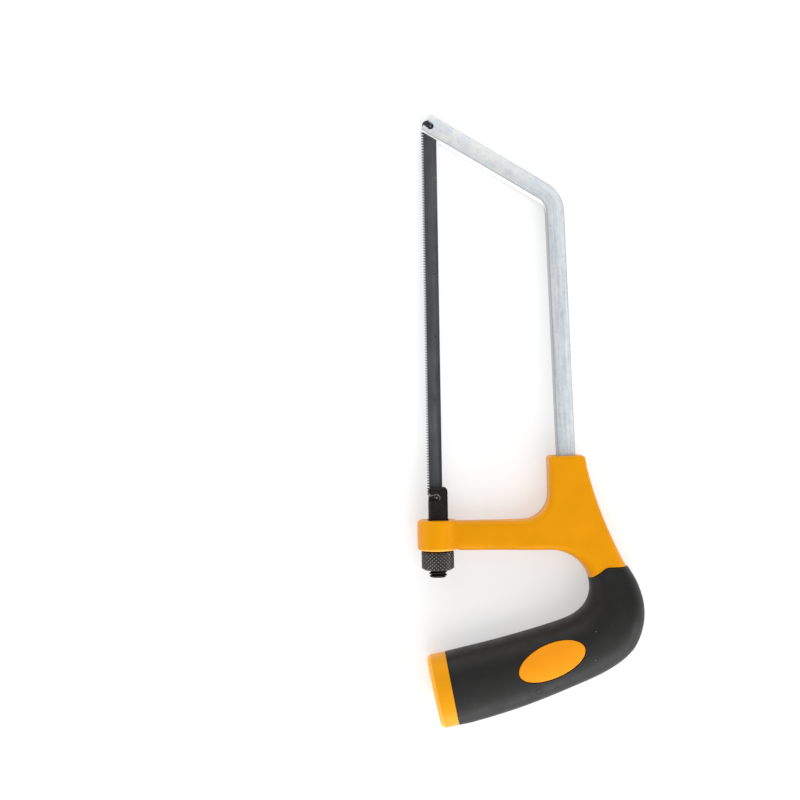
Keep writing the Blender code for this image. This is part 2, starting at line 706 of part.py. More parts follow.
def make_blade(bolt):
    """Strip with rounded ends, a row of raked teeth on the cutting edge and a hole for each pin."""
    low, high = LOWER_PIN.y - BLADE_END, UPPER_PIN.y + BLADE_END
    gullet_x = BLADE_TIPS_X + TOOTH_DEPTH
    end_radius = (BLADE_BACK_X - gullet_x) / 2 * BLADE_END_ROUND
    teeth_low, teeth_high = LOWER_PIN.y + TOOTHLESS_END, UPPER_PIN.y - TOOTHLESS_END
    count = math.floor((teeth_high - teeth_low) / TOOTH_PITCH)
    low_left, low_right = flat(gullet_x, low), flat(BLADE_BACK_X, low)
    high_left, high_right = flat(gullet_x, high), flat(BLADE_BACK_X, high)
    outline = fillet(low_left, low_right, high_right, end_radius, BLADE_END_STEPS)
    outline += fillet(low_right, high_right, high_left, end_radius, BLADE_END_STEPS)
    outline += fillet(high_right, high_left, low_left, end_radius, BLADE_END_STEPS)
    for i in reversed(range(count)):
        root_y = teeth_low + (i + 1) * TOOTH_PITCH
        outline.append(flat(gullet_x, root_y))
        outline.append(flat(BLADE_TIPS_X, root_y - TOOTH_FACE * TOOTH_PITCH))
    outline.append(flat(gullet_x, teeth_low))
    outline += fillet(high_left, low_left, low_right, end_radius, BLADE_END_STEPS)
    blade = add_object("blade", prism(outline, -BLADE_THICKNESS / 2, BLADE_THICKNESS / 2), LOWER_PIN)
    for pin in (LOWER_PIN, UPPER_PIN):
        hole = circle(pin.xy, PIN_RADIUS + GAP, PIN_HOLE_SIDES)
        combine(blade, prism(hole, -BLADE_THICKNESS, BLADE_THICKNESS), "DIFFERENCE")
    return finish(blade, "blade_blue", bolt)


def make_pin(blade, name, place):
    """Straight cross pin with chamfered ends."""
    half = PIN_LENGTH / 2
    rings = []
    for z in (-half, PIN_CHAMFER - half, half - PIN_CHAMFER, half):
        radius = PIN_RADIUS - PIN_CHAMFER if abs(z) == half else PIN_RADIUS
        rings.append([Vector((p.x, p.y, z)) for p in circle(place.xy, radius, PIN_SIDES)])
    return finish(add_object(name, loft(rings), place), "pin_steel", blade)


def lay_on_side(root):
    """Turns the saw so that the grip and the tip of the bar rest on one plane, centred on the origin."""
    run, beside_pin = bar_direction()
    tip = beside_pin + run * BAR_PAST_PIN - flat(run.y, -run.x) * (BAR_SIDE / 2)
    rests = [Vector((*tip, -BAR_SIDE / 2))]
    for finger, back, depth in (GRIP_SECTIONS[-1], GRIP_SECTIONS[RESTING_SECTION]):
        rests.append(Vector((*((Vector(finger) + Vector(back)) / 2), -depth)))
    normal = (rests[1] - rests[0]).cross(rests[2] - rests[0]).normalized()
    root.rotation_mode = "QUATERNION"
    root.rotation_quaternion = normal.rotation_difference(Vector((0, 0, 1)))
    bpy.context.view_layer.update()
    corners = []
    for piece in bpy.context.scene.objects:
        if piece.type == "MESH":
            corners.extend(piece.matrix_world @ vertex.co for vertex in piece.data.vertices)
    low = Vector(tuple(min(p[i] for p in corners) for i in range(3)))
    high = Vector(tuple(max(p[i] for p in corners) for i in range(3)))
    root.location = -Vector(((low.x + high.x) / 2, (low.y + high.y) / 2, low.z))
    bpy.context.view_layer.update()


def main():
    for old in list(bpy.data.objects):
        bpy.data.objects.remove(old)
    root = bpy.data.objects.new("saw_on_its_side", None)
    bpy.context.collection.objects.link(root)
    make_frame_bar(root)
    make_handle_core(root)
    make_grip_sleeve(root)
    make_end_plug(root)
    make_badge(root, "badge_front", 1)
    make_badge(root, "badge_back", -1)
    bolt = make_tension_bolt(root)
    make_knurled_nut(root)
    blade = make_blade(bolt)
    make_pin(blade, "lower_pin", LOWER_PIN)
    make_pin(blade, "upper_pin", UPPER_PIN)
    lay_on_side(root)


main()
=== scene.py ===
import json
import math

import bmesh
import bpy
import numpy as np
from mathutils import Matrix, Vector
from mathutils.bvhtree import BVHTree
from mathutils.geometry import delaunay_2d_cdt


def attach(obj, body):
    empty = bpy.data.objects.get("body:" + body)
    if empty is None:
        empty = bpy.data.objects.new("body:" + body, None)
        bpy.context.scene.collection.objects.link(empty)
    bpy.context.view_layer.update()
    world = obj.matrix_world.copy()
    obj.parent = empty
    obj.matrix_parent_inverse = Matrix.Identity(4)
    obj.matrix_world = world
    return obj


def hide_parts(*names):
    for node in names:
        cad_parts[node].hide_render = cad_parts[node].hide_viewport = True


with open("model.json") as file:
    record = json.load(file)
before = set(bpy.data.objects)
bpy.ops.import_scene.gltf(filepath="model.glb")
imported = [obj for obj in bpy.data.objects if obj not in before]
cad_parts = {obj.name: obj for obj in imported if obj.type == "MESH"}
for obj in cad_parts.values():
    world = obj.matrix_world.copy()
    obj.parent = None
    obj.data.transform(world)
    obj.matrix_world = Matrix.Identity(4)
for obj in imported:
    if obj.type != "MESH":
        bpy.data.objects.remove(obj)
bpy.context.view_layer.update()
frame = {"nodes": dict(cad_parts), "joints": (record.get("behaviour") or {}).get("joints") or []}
print("frame loaded with", len(frame["nodes"]), "nodes")

# every piece is drawn flat in millimetres and laid on the frame when it is settled:
# x runs from the blade to the bar, y from the handle to the tip, z through the thickness
drawing = {
    "unit": 0.001,
    "gap": 0.3,  # clearance between neighbours
    "lowerPin": (0.2, 15.15),  # the blade swings about this pin
    "pinSpacing": 146.3,
    "pinRadius": 0.8,
    "boltX": 0.3,  # axis of bolt, nut and boss
    "past": 4.0,  # how far a cut runs past the surface it opens
    "farPast": 60.0,
}

joints = {joint["name"]: joint for joint in frame["joints"]}
alongSaw = Vector(joints["bolt_slide"]["axis"]).normalized()
outOfSaw = Vector(joints["blade_swing"]["axis"]).normalized()
sawTurn = Matrix((alongSaw.cross(outOfSaw), alongSaw, outOfSaw)).transposed().to_4x4()
sawToRow = (
    Matrix.Translation(joints["blade_swing"]["pos_m"])
    @ sawTurn
    @ Matrix.Scale(drawing["unit"], 4)
    @ Matrix.Translation((-drawing["lowerPin"][0], -drawing["lowerPin"][1], 0.0))
)


# points and curves on the drawing

def ease(value, start, end):
    t = min(max((value - start) / (end - start), 0.0), 1.0)
    return t * t * (3 - 2 * t)


def arcPoints(centre, radius, start, end, steps):  # angles in degrees
    angles = [math.radians(start + (end - start) * i / steps) for i in range(steps + 1)]
    return [Vector(centre) + radius * Vector((math.cos(a), math.sin(a))) for a in angles]


def arcThrough(first, middle, last, steps, overrun):
    a, b, c = (Vector(p) for p in (first, middle, last))
    sides = Matrix((b - a, c - b))
    half = Vector((b.length_squared - a.length_squared, c.length_squared - b.length_squared)) / 2
    centre = sides.inverted() @ half
    start = math.atan2(a.y - centre.y, a.x - centre.x)
    end = math.atan2(c.y - centre.y, c.x - centre.x)
    sweep = (end - start + math.pi) % (2 * math.pi) - math.pi
    low = math.degrees(start - sweep * overrun)
    high = math.degrees(end + sweep * overrun)
    return arcPoints(centre, (a - centre).length, low, high, steps)


def roundCorner(before, corner, after, radius, steps):
    corner = Vector(corner)
    u = (Vector(before) - corner).normalized()
    v = (Vector(after) - corner).normalized()
    half = u.angle(v) / 2
    centre = corner + (u + v).normalized() * (radius / math.sin(half))
    start = corner + u * (radius / math.tan(half)) - centre
    end = corner + v * (radius / math.tan(half)) - centre
    sweep = start.angle_signed(end)
    return [centre + Matrix.Rotation(-sweep * i / steps, 2) @ start for i in range(steps + 1)]


def evenly(points, longest):  # extra points on the long runs of an open line
    made = []
    for here, after in zip(points, points[1:]):
        count = max(1, math.ceil((after - here).length / longest))
        made.extend(here.lerp(after, i / count) for i in range(count))
    return made + [points[-1]]


def rectangle(left, right, low, high):  # corners, counter-clockwise
    return [Vector(p) for p in ((left, low), (right, low), (right, high), (left, high))]


def fullTurn(steps):  # angles once round
    return [2 * math.pi * i / steps for i in range(steps)]


def quarterRound(steps):  # (inward, down) shares of a rim, from its side to its face
    angles = [math.pi / 2 * i / steps for i in range(steps + 1)]
    return [(1 - math.cos(a), 1 - math.sin(a)) for a in angles]


def roundedDrop(distance, radius):  # how far a rounded edge lies below the flat, this far from the side
    if distance >= radius:
        return 0.0
    share = 1 - max(distance, 0.0) / radius
    return radius * (1 - math.sqrt(1 - share * share))


def alongRows(rows, u):  # smooth curve through rows of numbers, u counts rows
    i = min(max(int(u), 0), len(rows) - 2)
    t = u - i
    before = rows[i - 1] if i > 0 else [2 * a - b for a, b in zip(rows[0], rows[1])]
    after = rows[i + 2] if i + 2 < len(rows) else [2 * a - b for a, b in zip(rows[-1], rows[-2])]
    made = []
    for a, b, c, d in zip(before, rows[i], rows[i + 1], after):
        bend = 2 * a - 5 * b + 4 * c - d
        twist = 3 * b - a - 3 * c + d
        made.append(b + ((c - a) * t + bend * t**2 + twist * t**3) / 2)
    return made


def insetLine(outline, distances):  # counter-clockwise outline moved inward
    points = []
    for i, here in enumerate(outline):
        before = (here - outline[i - 1]).normalized()
        after = (outline[(i + 1) % len(outline)] - here).normalized()
        inward = Vector((-before.y, before.x))
        mitre = (inward + Vector((-after.y, after.x))).normalized()
        points.append(here + mitre * (distances[i] / max(0.5, mitre.dot(inward))))
    return points


# bodies

def loftRings(rings, loop=False):  # capped at both ends, or joined end to end
    body = bmesh.new()
    layers = [[body.verts.new(p) for p in ring] for ring in rings]
    pairs = list(zip(layers, layers[1:]))
    if loop:
        pairs.append((layers[-1], layers[0]))
    else:
        body.faces.new(layers[0])
        body.faces.new(layers[-1])
    for low, high in pairs:
        for i in range(len(low)):
            j = (i + 1) % len(low)
            body.faces.new((low[i], low[j], high[j], high[i]))
    bmesh.ops.recalc_face_normals(body, faces=body.faces)
    return body


def prism(outline, low, high):
    return loftRings([[Vector((p.x, p.y, z)) for p in outline] for z in (low, high)])


def fieldSlab(outline, extra, frontAt, backAt, seamAt=None):  # slab between two height fields
    points = list(outline) + list(extra)
    places, _, triangles, sources, _, _ = delaunay_2d_cdt(points, [], [list(range(len(outline)))], 1, 1e-5)
    body = bmesh.new()
    front = [body.verts.new((p.x, p.y, frontAt(p))) for p in places]
    back = [body.verts.new((p.x, p.y, backAt(p))) for p in places]
    for a, b, c in triangles:
        body.faces.new((front[a], front[b], front[c]))
        body.faces.new((back[c], back[b], back[a]))
    placeOf = {source: i for i, group in enumerate(sources) for source in group}
    walls = []
    for k in range(len(outline)):
        top, bottom = front[placeOf[k]], back[placeOf[k]]
        between = [body.verts.new(p) for p in seamAt(k, top.co.z)] if seamAt else []
        walls.append([top, *between, bottom])
    for here, after in zip(walls, walls[1:] + walls[:1]):
        for s in range(len(here) - 1):
            body.faces.new((here[s], here[s + 1], after[s + 1], after[s]))
    bmesh.ops.remove_doubles(body, verts=body.verts, dist=1e-4)
    bmesh.ops.dissolve_degenerate(body, edges=body.edges, dist=1e-5)
    bmesh.ops.recalc_face_normals(body, faces=body.faces)
    return body


def turnedRing(radius, y, sides):  # ring about the bolt's axis, the radius may depend on the angle
    ring = []
    for angle in fullTurn(sides):
        r = radius(angle) if callable(radius) else radius
        ring.append(Vector((drawing["boltX"] + r * math.sin(angle), y, r * math.cos(angle))))
    return ring


def turned(profile, sides):
    return loftRings([turnedRing(radius, y, sides) for radius, y in profile])


def addObject(name, data):
    made = bpy.data.objects.new(name, data)
    bpy.context.scene.collection.objects.link(made)
    return made


def drawnObject(name, body):
    mesh = bpy.data.meshes.new(name)
    body.to_mesh(mesh)
    body.free()
    return addObject(name, mesh)


def combine(target, body, operation):
    tool = drawnObject("tool", body)
    modifier = target.modifiers.new(operation.lower(), "BOOLEAN")
    modifier.object = tool
    modifier.operation = operation
    bpy.context.view_layer.update()
    graph = bpy.context.evaluated_depsgraph_get()
    mesh = bpy.data.meshes.new_from_object(target.evaluated_get(graph))
    target.modifiers.clear()
    old = target.data
    target.data = mesh
    bpy.data.meshes.remove(old)
    bpy.data.objects.remove(tool)


def paint(piece, name, valueAt):  # a number at each vertex, from its place on the drawing
    layer = piece.data.attributes.new(name, "FLOAT", "POINT")
    layer.data.foreach_set("value", [valueAt(v.co) for v in piece.data.vertices])


def settle(piece, body, node, material, sharpAngle=35):
    piece.data.transform(sawToRow)
    piece.data.materials.clear()
    piece.data.materials.append(material)
    piece.data.shade_smooth()
    piece.data.set_sharp_from_angle(angle=math.radians(sharpAngle))
    flats = piece.modifiers.new("keepFlatsFlat", "WEIGHTED_NORMAL")
    flats.keep_sharp = True
    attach(piece, body)
    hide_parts(node)
    print(piece.name, "settled on", body, "with", len(piece.data.polygons), "faces")


# nodes for the finishes

def startMaterial(name, values):
    material = bpy.data.materials.new(name)
    material.use_nodes = True
    shader = material.node_tree.nodes["Principled BSDF"]
    for socket, value in values.items():
        shader.inputs[socket].default_value = value
    return material, shader


def addNode(material, kind, values, **settings):
    node = material.node_tree.nodes.new(kind)
    for setting, value in settings.items():
        setattr(node, setting, value)
    for socket, value in values.items():
        if isinstance(value, bpy.types.NodeSocket):
            material.node_tree.links.new(value, node.inputs[socket])
        else:
            node.inputs[socket].default_value = value
    return node


def wire(material, source, target):
    material.node_tree.links.new(source, target)


def millimetres(material, stretch=(1.0, 1.0, 1.0)):  # the piece's own place in millimetres
    place = addNode(material, "ShaderNodeTexCoord", {}).outputs["Object"]
    values = {"Vector": place, "Scale": [s / drawing["unit"] for s in stretch]}
    return addNode(material, "ShaderNodeMapping", values).outputs[0]


def noiseValue(material, place, scale, detail=3.0, roughness=0.55):
    values = {"Vector": place, "Scale": scale, "Detail": detail, "Roughness": roughness}
    return addNode(material, "ShaderNodeTexNoise", values).outputs["Fac"]


def ramp(material, factor, stops):  # stops are (place, value or colour)
    node = addNode(material, "ShaderNodeValToRGB", {"Fac": factor})
    elements = node.color_ramp.elements
    while len(elements) < len(stops):
        elements.new(0.5)
    for element, (place, value) in zip(elements, stops):
        element.position = place
        colour = value if isinstance(value, tuple) else (value, value, value)
        element.color = (*colour, 1.0)
    return node.outputs["Color"]


def mixColour(material, factor, first, second, blend="MIX"):
    node = addNode(material, "ShaderNodeMix", {}, data_type="RGBA", blend_type=blend)
    for index, value in ((0, factor), (6, first), (7, second)):
        if isinstance(value, bpy.types.NodeSocket):
            wire(material, value, node.inputs[index])
        else:
            node.inputs[index].default_value = (*value, 1.0) if isinstance(value, tuple) else value
    return node.outputs[2]


def mathNode(material, operation, first, second=0.0):
    return addNode(material, "ShaderNodeMath", {0: first, 1: second}, operation=operation).outputs[0]


def painted(material, name):  # a number painted on the piece
    return addNode(material, "ShaderNodeAttribute", {}, attribute_name=name).outputs["Fac"]


def mapRange(material, value, start, stop, low=0.0, high=1.0):
    values = {0: value, 1: start, 2: stop, 3: low, 4: high}
    return addNode(material, "ShaderNodeMapRange", values).outputs[0]


def setRoughness(material, shader, factor, span, last=0.7):
    low, high = span
    wire(material, ramp(material, factor, [(0.3, low), (last, high)]), shader.inputs["Roughness"])


def addBump(material, shader, height, millimetre):  # stacks on a bump that is already there
    values = {"Height": height, "Distance": millimetre * drawing["unit"], "Strength": 1.0}
    link = shader.inputs["Normal"].links
    if link:
        values["Normal"] = link[0].from_socket
    wire(material, addNode(material, "ShaderNodeBump", values).outputs[0], shader.inputs["Normal"])


def dustSpecks(material, place, scale, size, share):  # 1 on sparse round specks
    values = {"Vector": place, "Scale": scale, "Randomness": 1.0}
    cells = addNode(material, "ShaderNodeTexVoronoi", values)
    picked = mathNode(material, "GREATER_THAN", cells.outputs["Color"], 1.0 - share)
    spot = mathNode(material, "LESS_THAN", cells.outputs["Distance"], size)
    return mathNode(material, "MULTIPLY", picked, spot)


def colourTone(colour, tone):
    return tuple(min(1.0, part * tone) for part in colour)


# orange plastic of the moulding, the plug and the inlays
plastic = {
    "moulding": (0.60, 0.231, 0.002),
    "plug": (0.64, 0.254, 0.007),
    "inlay": (0.72, 0.249, 0.010),
    "rim": (0.90, 0.48, 0.10),  # painted highlight on the rims of the boss and the plug
    "paintedLight": 1.06,  # painted light: the boss is painted a shade lighter than the arm
    "gloss": (1.0, 0.55, 0.06),  # tint of the reflection, seen straight on
    "cloud": 0.05,  # depth of the soft light and dark clouds
    "cloudScale": 0.09,  # per millimetre
    "smudgeScale": 0.25,
    "grainScale": 5.0,
    "grainDepth": 0.004,
    "roughness": (0.30, 0.44),
}


def orangePlastic(name, colour):
    material, shader = startMaterial(name, {"IOR": 1.49, "Specular Tint": (*plastic["gloss"], 1.0)})
    place = millimetres(material)
    cloud = noiseValue(material, place, plastic["cloudScale"], 4.0)
    dark = colourTone(colour, 1.0 - plastic["cloud"])
    light = colourTone(colour, 1.0 + plastic["cloud"])
    base = ramp(material, cloud, [(0.3, dark), (0.7, light)])
    # painted light: the boss and the neck are painted lighter
    base = mixColour(material, painted(material, "paintedLight"), base, colourTone(colour, plastic["paintedLight"]))
    # painted highlight on the rims of the boss and the plug
    base = mixColour(material, painted(material, "rimHighlight"), base, plastic["rim"])
    wire(material, base, shader.inputs["Base Color"])
    smudge = noiseValue(material, place, plastic["smudgeScale"], 5.0, 0.65)
    setRoughness(material, shader, smudge, plastic["roughness"])
    grain = noiseValue(material, place, plastic["grainScale"], 2.0)
    addBump(material, shader, grain, plastic["grainDepth"])
    return material


# grip: finger edge, back edge and half depth of each section, from the neck to the end
grip = {
    "sections": (
        (56.2, -8.5, 72.2, -6.2, 7.6),
        (58.3, -13.8, 75.0, -12.4, 8.0),
        (60.1, -19.6, 79.1, -20.0, 8.9),
        (59.8, -24.4, 81.4, -28.4, 10.6),
        (58.0, -28.3, 80.8, -37.3, 11.8),
        (54.9, -31.3, 76.5, -46.4, 12.4),
        (50.2, -33.7, 66.6, -54.0, 12.4),
        (40.5, -36.8, 49.8, -61.4, 12.4),
        (24.6, -41.1, 32.05, -68.05, 12.4),
        (8.7, -44.8, 14.75, -73.15, 12.4),
        (1.4, -46.4, 7.15, -74.75, 12.3),
    ),
    "squareness": 2.3,
    "sleeveWall": 2.6,
    "coreWall": 3.0,
    "borderLine": ((90.0, -13.0), (66.1, -13.2), (50.0, -25.0)),  # where the sleeve starts on the neck
    "borderFillet": 4.0,
    "hollowFrom": 6,  # section where the hollow of the core starts
    "sides": 112,
    "rowLength": 1.1,
    "lengthSteps": 200,
}
lastSection = len(grip["sections"]) - 1

borderStart, borderCorner, borderEnd = grip["borderLine"]
borderPoints = roundCorner(borderStart, borderCorner, borderEnd, grip["borderFillet"], 12)
borderPoints = [Vector(borderStart), *borderPoints, Vector(borderEnd)][::-1]


def borderHeight(x):
    return float(np.interp(x, [p.x for p in borderPoints], [p.y for p in borderPoints]))


def squared(share):  # pushes an ellipse out into a squarer section
    return math.copysign(abs(share) ** (2 / grip["squareness"]), share)


def gripPoint(u, angle, wall):
    fingerX, fingerY, backX, backY, depth = alongRows(grip["sections"], u)
    finger = Vector((fingerX, fingerY))
    back = Vector((backX, backY))
    reach = (back - finger) / 2
    spot = (finger + back) / 2 + reach.normalized() * ((reach.length - wall) * squared(math.cos(angle)))
    return Vector((spot.x, spot.y, (depth - wall) * squared(math.sin(angle))))


gripAngles = fullTurn(grip["sides"])


def gripRing(u, wall):
    return [gripPoint(u, angle, wall) for angle in gripAngles]


def gripLengths():  # length of the grip's middle line up to each u
    stops = [lastSection * i / grip["lengthSteps"] for i in range(grip["lengthSteps"] + 1)]
    rows = [alongRows(grip["sections"], u) for u in stops]
    middles = [Vector(((r[0] + r[2]) / 2, (r[1] + r[3]) / 2)) for r in rows]
    lengths = [0.0]
    for here, after in zip(middles, middles[1:]):
        lengths.append(lengths[-1] + (after - here).length)
    return stops, lengths


gripStops, gripRun = gripLengths()
endFinger = Vector(grip["sections"][-1][0:2])
endBack = Vector(grip["sections"][-1][2:4])
endReach = (endBack - endFinger).normalized()
gripEnd = Vector((endReach.y, -endReach.x, 0.0))  # out of the end of the grip


# orange moulding: boss for the bolt, arm, tower for the bar, neck, and the core inside the sleeve
moulding = {
    "bossRadius": 7.9,
    "bossTop": 6.2,
    "bossBottom": -5.7,
    "bossRim": 1.1,
    "bossSides": 144,
    "armTop": 5.8,
    "armBottom": ((-12.0, -5.5), (8.0, -5.5), (8.6, -5.72), (9.6, -5.86)),
    "armPlain": 12.0,  # up to this x the arm's sides are straight
    "armDepth": 4.25,
    "armRamp": (20.0, 42.0),  # the arm thickens into the tower over this stretch of x
    "fingerCentre": (44.8, -20.5),
    "fingerRadius": 14.4,
    "fingerWiden": 1.5,  # the finger hole opens out towards the neck
    "towerLeft": 44.4,
    "towerTop": 30.9,
    "towerCorner": 1.4,
    "towerDepth": 6.4,
    "towerFillet": 10.2,
    "towerBack": ((58.8, 28.9), (65.9, 5.2), (74.3, -12.7)),
    "towerLean": 0.2,
    "neckRamp": (0.0, -14.0),  # and into the neck over this stretch of y
    "neckDepth": 7.4,
    "neckEnd": -28.0,
    "edges": {"top": 0.9, "tower": 2.2, "arm": 2.8, "neck": 4.8},
    "edgeBand": 6.0,
    "edgeSteps": 9,
    "edgesFrom": 2.0,  # inside the boss
    "outsideFall": 3.0,  # slope of the height field past the sides
    "spacing": 0.9,
    "closest": (0.12, 0.45),  # least spacing of points on the edges and on the face
    "face": (1.0, -28.0, 80.0, 62.0),  # left, bottom, width and height of the grid of points
    "faceGap": 0.2,
    "borderGap": 0.4,
    "seam": 0.07,  # mould parting line, proud of the side walls
    "guideBottom": -1.0,
    "guideSide": 7.6,
    "guideCorner": 0.8,
    "boreTop": 2.0,
    "boreRadius": 3.9,
    "lightBoss": (0.5, -1.5),  # the painted light on the boss fades out over this stretch of the arm
    "lightNeck": (-2.0, -10.0),
    "rimHighlight": {"rise": (0.15, 0.25), "fall": (0.9, 0.6), "half": 4.0, "share": 0.8},  # painted highlight low on the boss
}


def lowerEdge():  # under the boss, along the arm and round the finger side of the neck
    m = moulding
    centre = Vector(m["fingerCentre"])
    line = [Vector(p) for p in m["armBottom"]]
    for spot in arcPoints(centre, m["fingerRadius"], 90, 0, 30):
        widen = m["fingerWiden"] * (1 - (spot.y - centre.y) / m["fingerRadius"])
        line.append(spot + Vector((widen, 0.0)))
    line.append(Vector((line[-1].x, m["neckEnd"])))
    return evenly(line, m["spacing"])


def upperEdge():  # up the back of the neck, round the tower and along the arm to the boss
    m = moulding
    back = arcThrough(*m["towerBack"], 60, 0.5)
    back = [p for p in reversed(back) if m["neckEnd"] < p.y < m["towerBack"][0][1]]
    topRight = Vector((back[-1].x - (m["towerTop"] - back[-1].y) * m["towerLean"], m["towerTop"]))
    topLeft = Vector((m["towerLeft"], m["towerTop"]))
    corner = Vector((m["towerLeft"], m["armTop"]))
    armEnd = Vector((m["armBottom"][0][0], m["armTop"]))
    line = list(back)
    line += roundCorner(back[-1], topRight, topLeft, m["towerCorner"], 8)
    line += roundCorner(topRight, topLeft, corner, m["towerCorner"], 8)
    line += roundCorner(topLeft, corner, armEnd, m["towerFillet"], 20)
    line.append(armEnd)
    return evenly(line, m["spacing"])


edgeLines = (lowerEdge(), upperEdge())
armLine = [p for p in edgeLines[0] if p.x < moulding["armRamp"][0]]


def edgeArray(line):
    points = np.array([tuple(p) for p in line])
    run = points[1:] - points[:-1]
    return points[:-1], run, np.maximum((run**2).sum(1), 1e-12)


def nearestEdge(arrays, x, y):
    spot = np.array((x, y))
    nearest = 1e9
    for start, run, square in arrays:
        t = np.clip(((spot - start) * run).sum(1) / square, 0.0, 1.0)
        nearest = min(nearest, float(np.sqrt(((start + run * t[:, None] - spot) ** 2).sum(1)).min()))
    return nearest


edgeArrays = [edgeArray(line) for line in edgeLines]


def edgeDistance(x, y):  # from a point of the arm, tower or neck to its nearest side
    if x > moulding["armPlain"]:
        return nearestEdge(edgeArrays, x, y)
    return min(moulding["armTop"] - y, y - np.interp(x, [p.x for p in armLine], [p.y for p in armLine]))


def edgeRadius(x, y):
    m = moulding
    edges = m["edges"]
    tower = ease(x, *m["armRamp"])
    side = edges["arm"] + (edges["tower"] - edges["arm"]) * tower
    side += (edges["neck"] - edges["tower"]) * ease(y, *m["neckRamp"]) * tower
    top = ease(y, m["towerTop"] - m["edgeBand"], m["towerTop"] - m["towerCorner"])
    return side + (edges["top"] - side) * top


def armHeight(x, y):
    m = moulding
    tower = ease(x, *m["armRamp"])
    neck = ease(y, *m["neckRamp"]) * tower
    height = m["armDepth"] + (m["towerDepth"] - m["armDepth"]) * tower
    height += (m["neckDepth"] - m["towerDepth"]) * neck
    inside = edgeDistance(x, y)
    return height - roundedDrop(inside, edgeRadius(x, y)) + m["outsideFall"] * min(inside, 0.0)


def bossBody():
    m = moulding
    steps = quarterRound(m["edgeSteps"])
    rim = [(m["bossRadius"] - m["bossRim"] * inward, m["bossRim"] * low) for inward, low in steps]
    profile = [(radius, m["bossTop"] - low) for radius, low in rim[::-1]]
    profile += [(radius, m["bossBottom"] + low) for radius, low in rim]
    return turned(profile, m["bossSides"])


def aboveBorder(line):  # cut off where it runs into the sleeve
    kept = [line[0]]
    for here, after in zip(line, line[1:]):
        over = here.y - borderHeight(here.x) - drawing["gap"]
        under = after.y - borderHeight(after.x) - drawing["gap"]
        if under < 0:
            kept.append(here.lerp(after, over / (over - under)))
            return kept
        kept.append(after)
    return kept


def mouldingOutline():
    m = moulding
    start = drawing["boltX"]  # inside the boss
    lower = aboveBorder([p for p in edgeLines[0] if p.x > start])
    upper = aboveBorder([p for p in edgeLines[1][::-1] if p.x > start])[::-1]
    left, right = lower[-1].x + m["borderGap"], upper[0].x - m["borderGap"]
    border = [p for p in evenly(borderPoints, m["spacing"]) if left < p.x < right]
    border = [p + Vector((0, drawing["gap"])) for p in border]
    return lower, border, upper, evenly([upper[-1], lower[0]], m["spacing"])[1:-1]


def thinned(candidates, kept, spacing):  # leaves out points that lie too close to one already kept
    cells = {}
    for p in kept:
        cells.setdefault((round(p.x / spacing), round(p.y / spacing)), []).append(p)
    made = []
    for p in candidates:
        i, j = round(p.x / spacing), round(p.y / spacing)
        around = [q for a in (-1, 0, 1) for b in (-1, 0, 1) for q in cells.get((i + a, j + b), ())]
        if all((p - q).length > spacing for q in around):
            made.append(p)
            cells.setdefault((i, j), []).append(p)
    return made


def mouldingPoints(outline, sides):
    m = moulding
    points = []
    edges = [edgeRadius(p.x, p.y) for p in outline]
    for inward, _ in quarterRound(m["edgeSteps"])[1:]:  # rows of points down the rounded edges
        ring = insetLine(outline, [edge * inward for edge in edges])
        points += [p for i, p in enumerate(ring) if sides[i] and outline[i].x > m["edgesFrom"]]
    left, bottom, width, height = m["face"]
    face = []
    for i in range(int(width / m["spacing"])):
        for j in range(int(height / m["spacing"])):
            p = Vector((left + i * m["spacing"], bottom + j * m["spacing"]))
            if edgeDistance(p.x, p.y) > edgeRadius(p.x, p.y) + m["faceGap"]:
                face.append(p)
    onEdges, onFace = m["closest"]
    extra = thinned(points, outline, onEdges)
    return extra + thinned(face, outline + extra, onFace)


def mouldingSlab():
    chains = mouldingOutline()
    outline = [p for chain in chains for p in chain]
    sides = [k in (0, 2) for k, chain in enumerate(chains) for p in chain]
    extra = mouldingPoints(outline, sides)

    def seamAt(k, height):  # the parting line runs round the side wall at half depth
        run = outline[(k + 1) % len(outline)] - outline[k - 1]
        out = Vector((run.y, -run.x)).normalized() * (moulding["seam"] if sides[k] else 0.0)
        half = min(height / 2, 2 * moulding["seam"])
        steps = ((0.0, half), (1.0, half / 3), (1.0, -half / 3), (0.0, -half))
        return [(*(outline[k] + out * share), z) for share, z in steps]

    return fieldSlab(outline, extra, lambda p: armHeight(p.x, p.y), lambda p: -armHeight(p.x, p.y), seamAt)


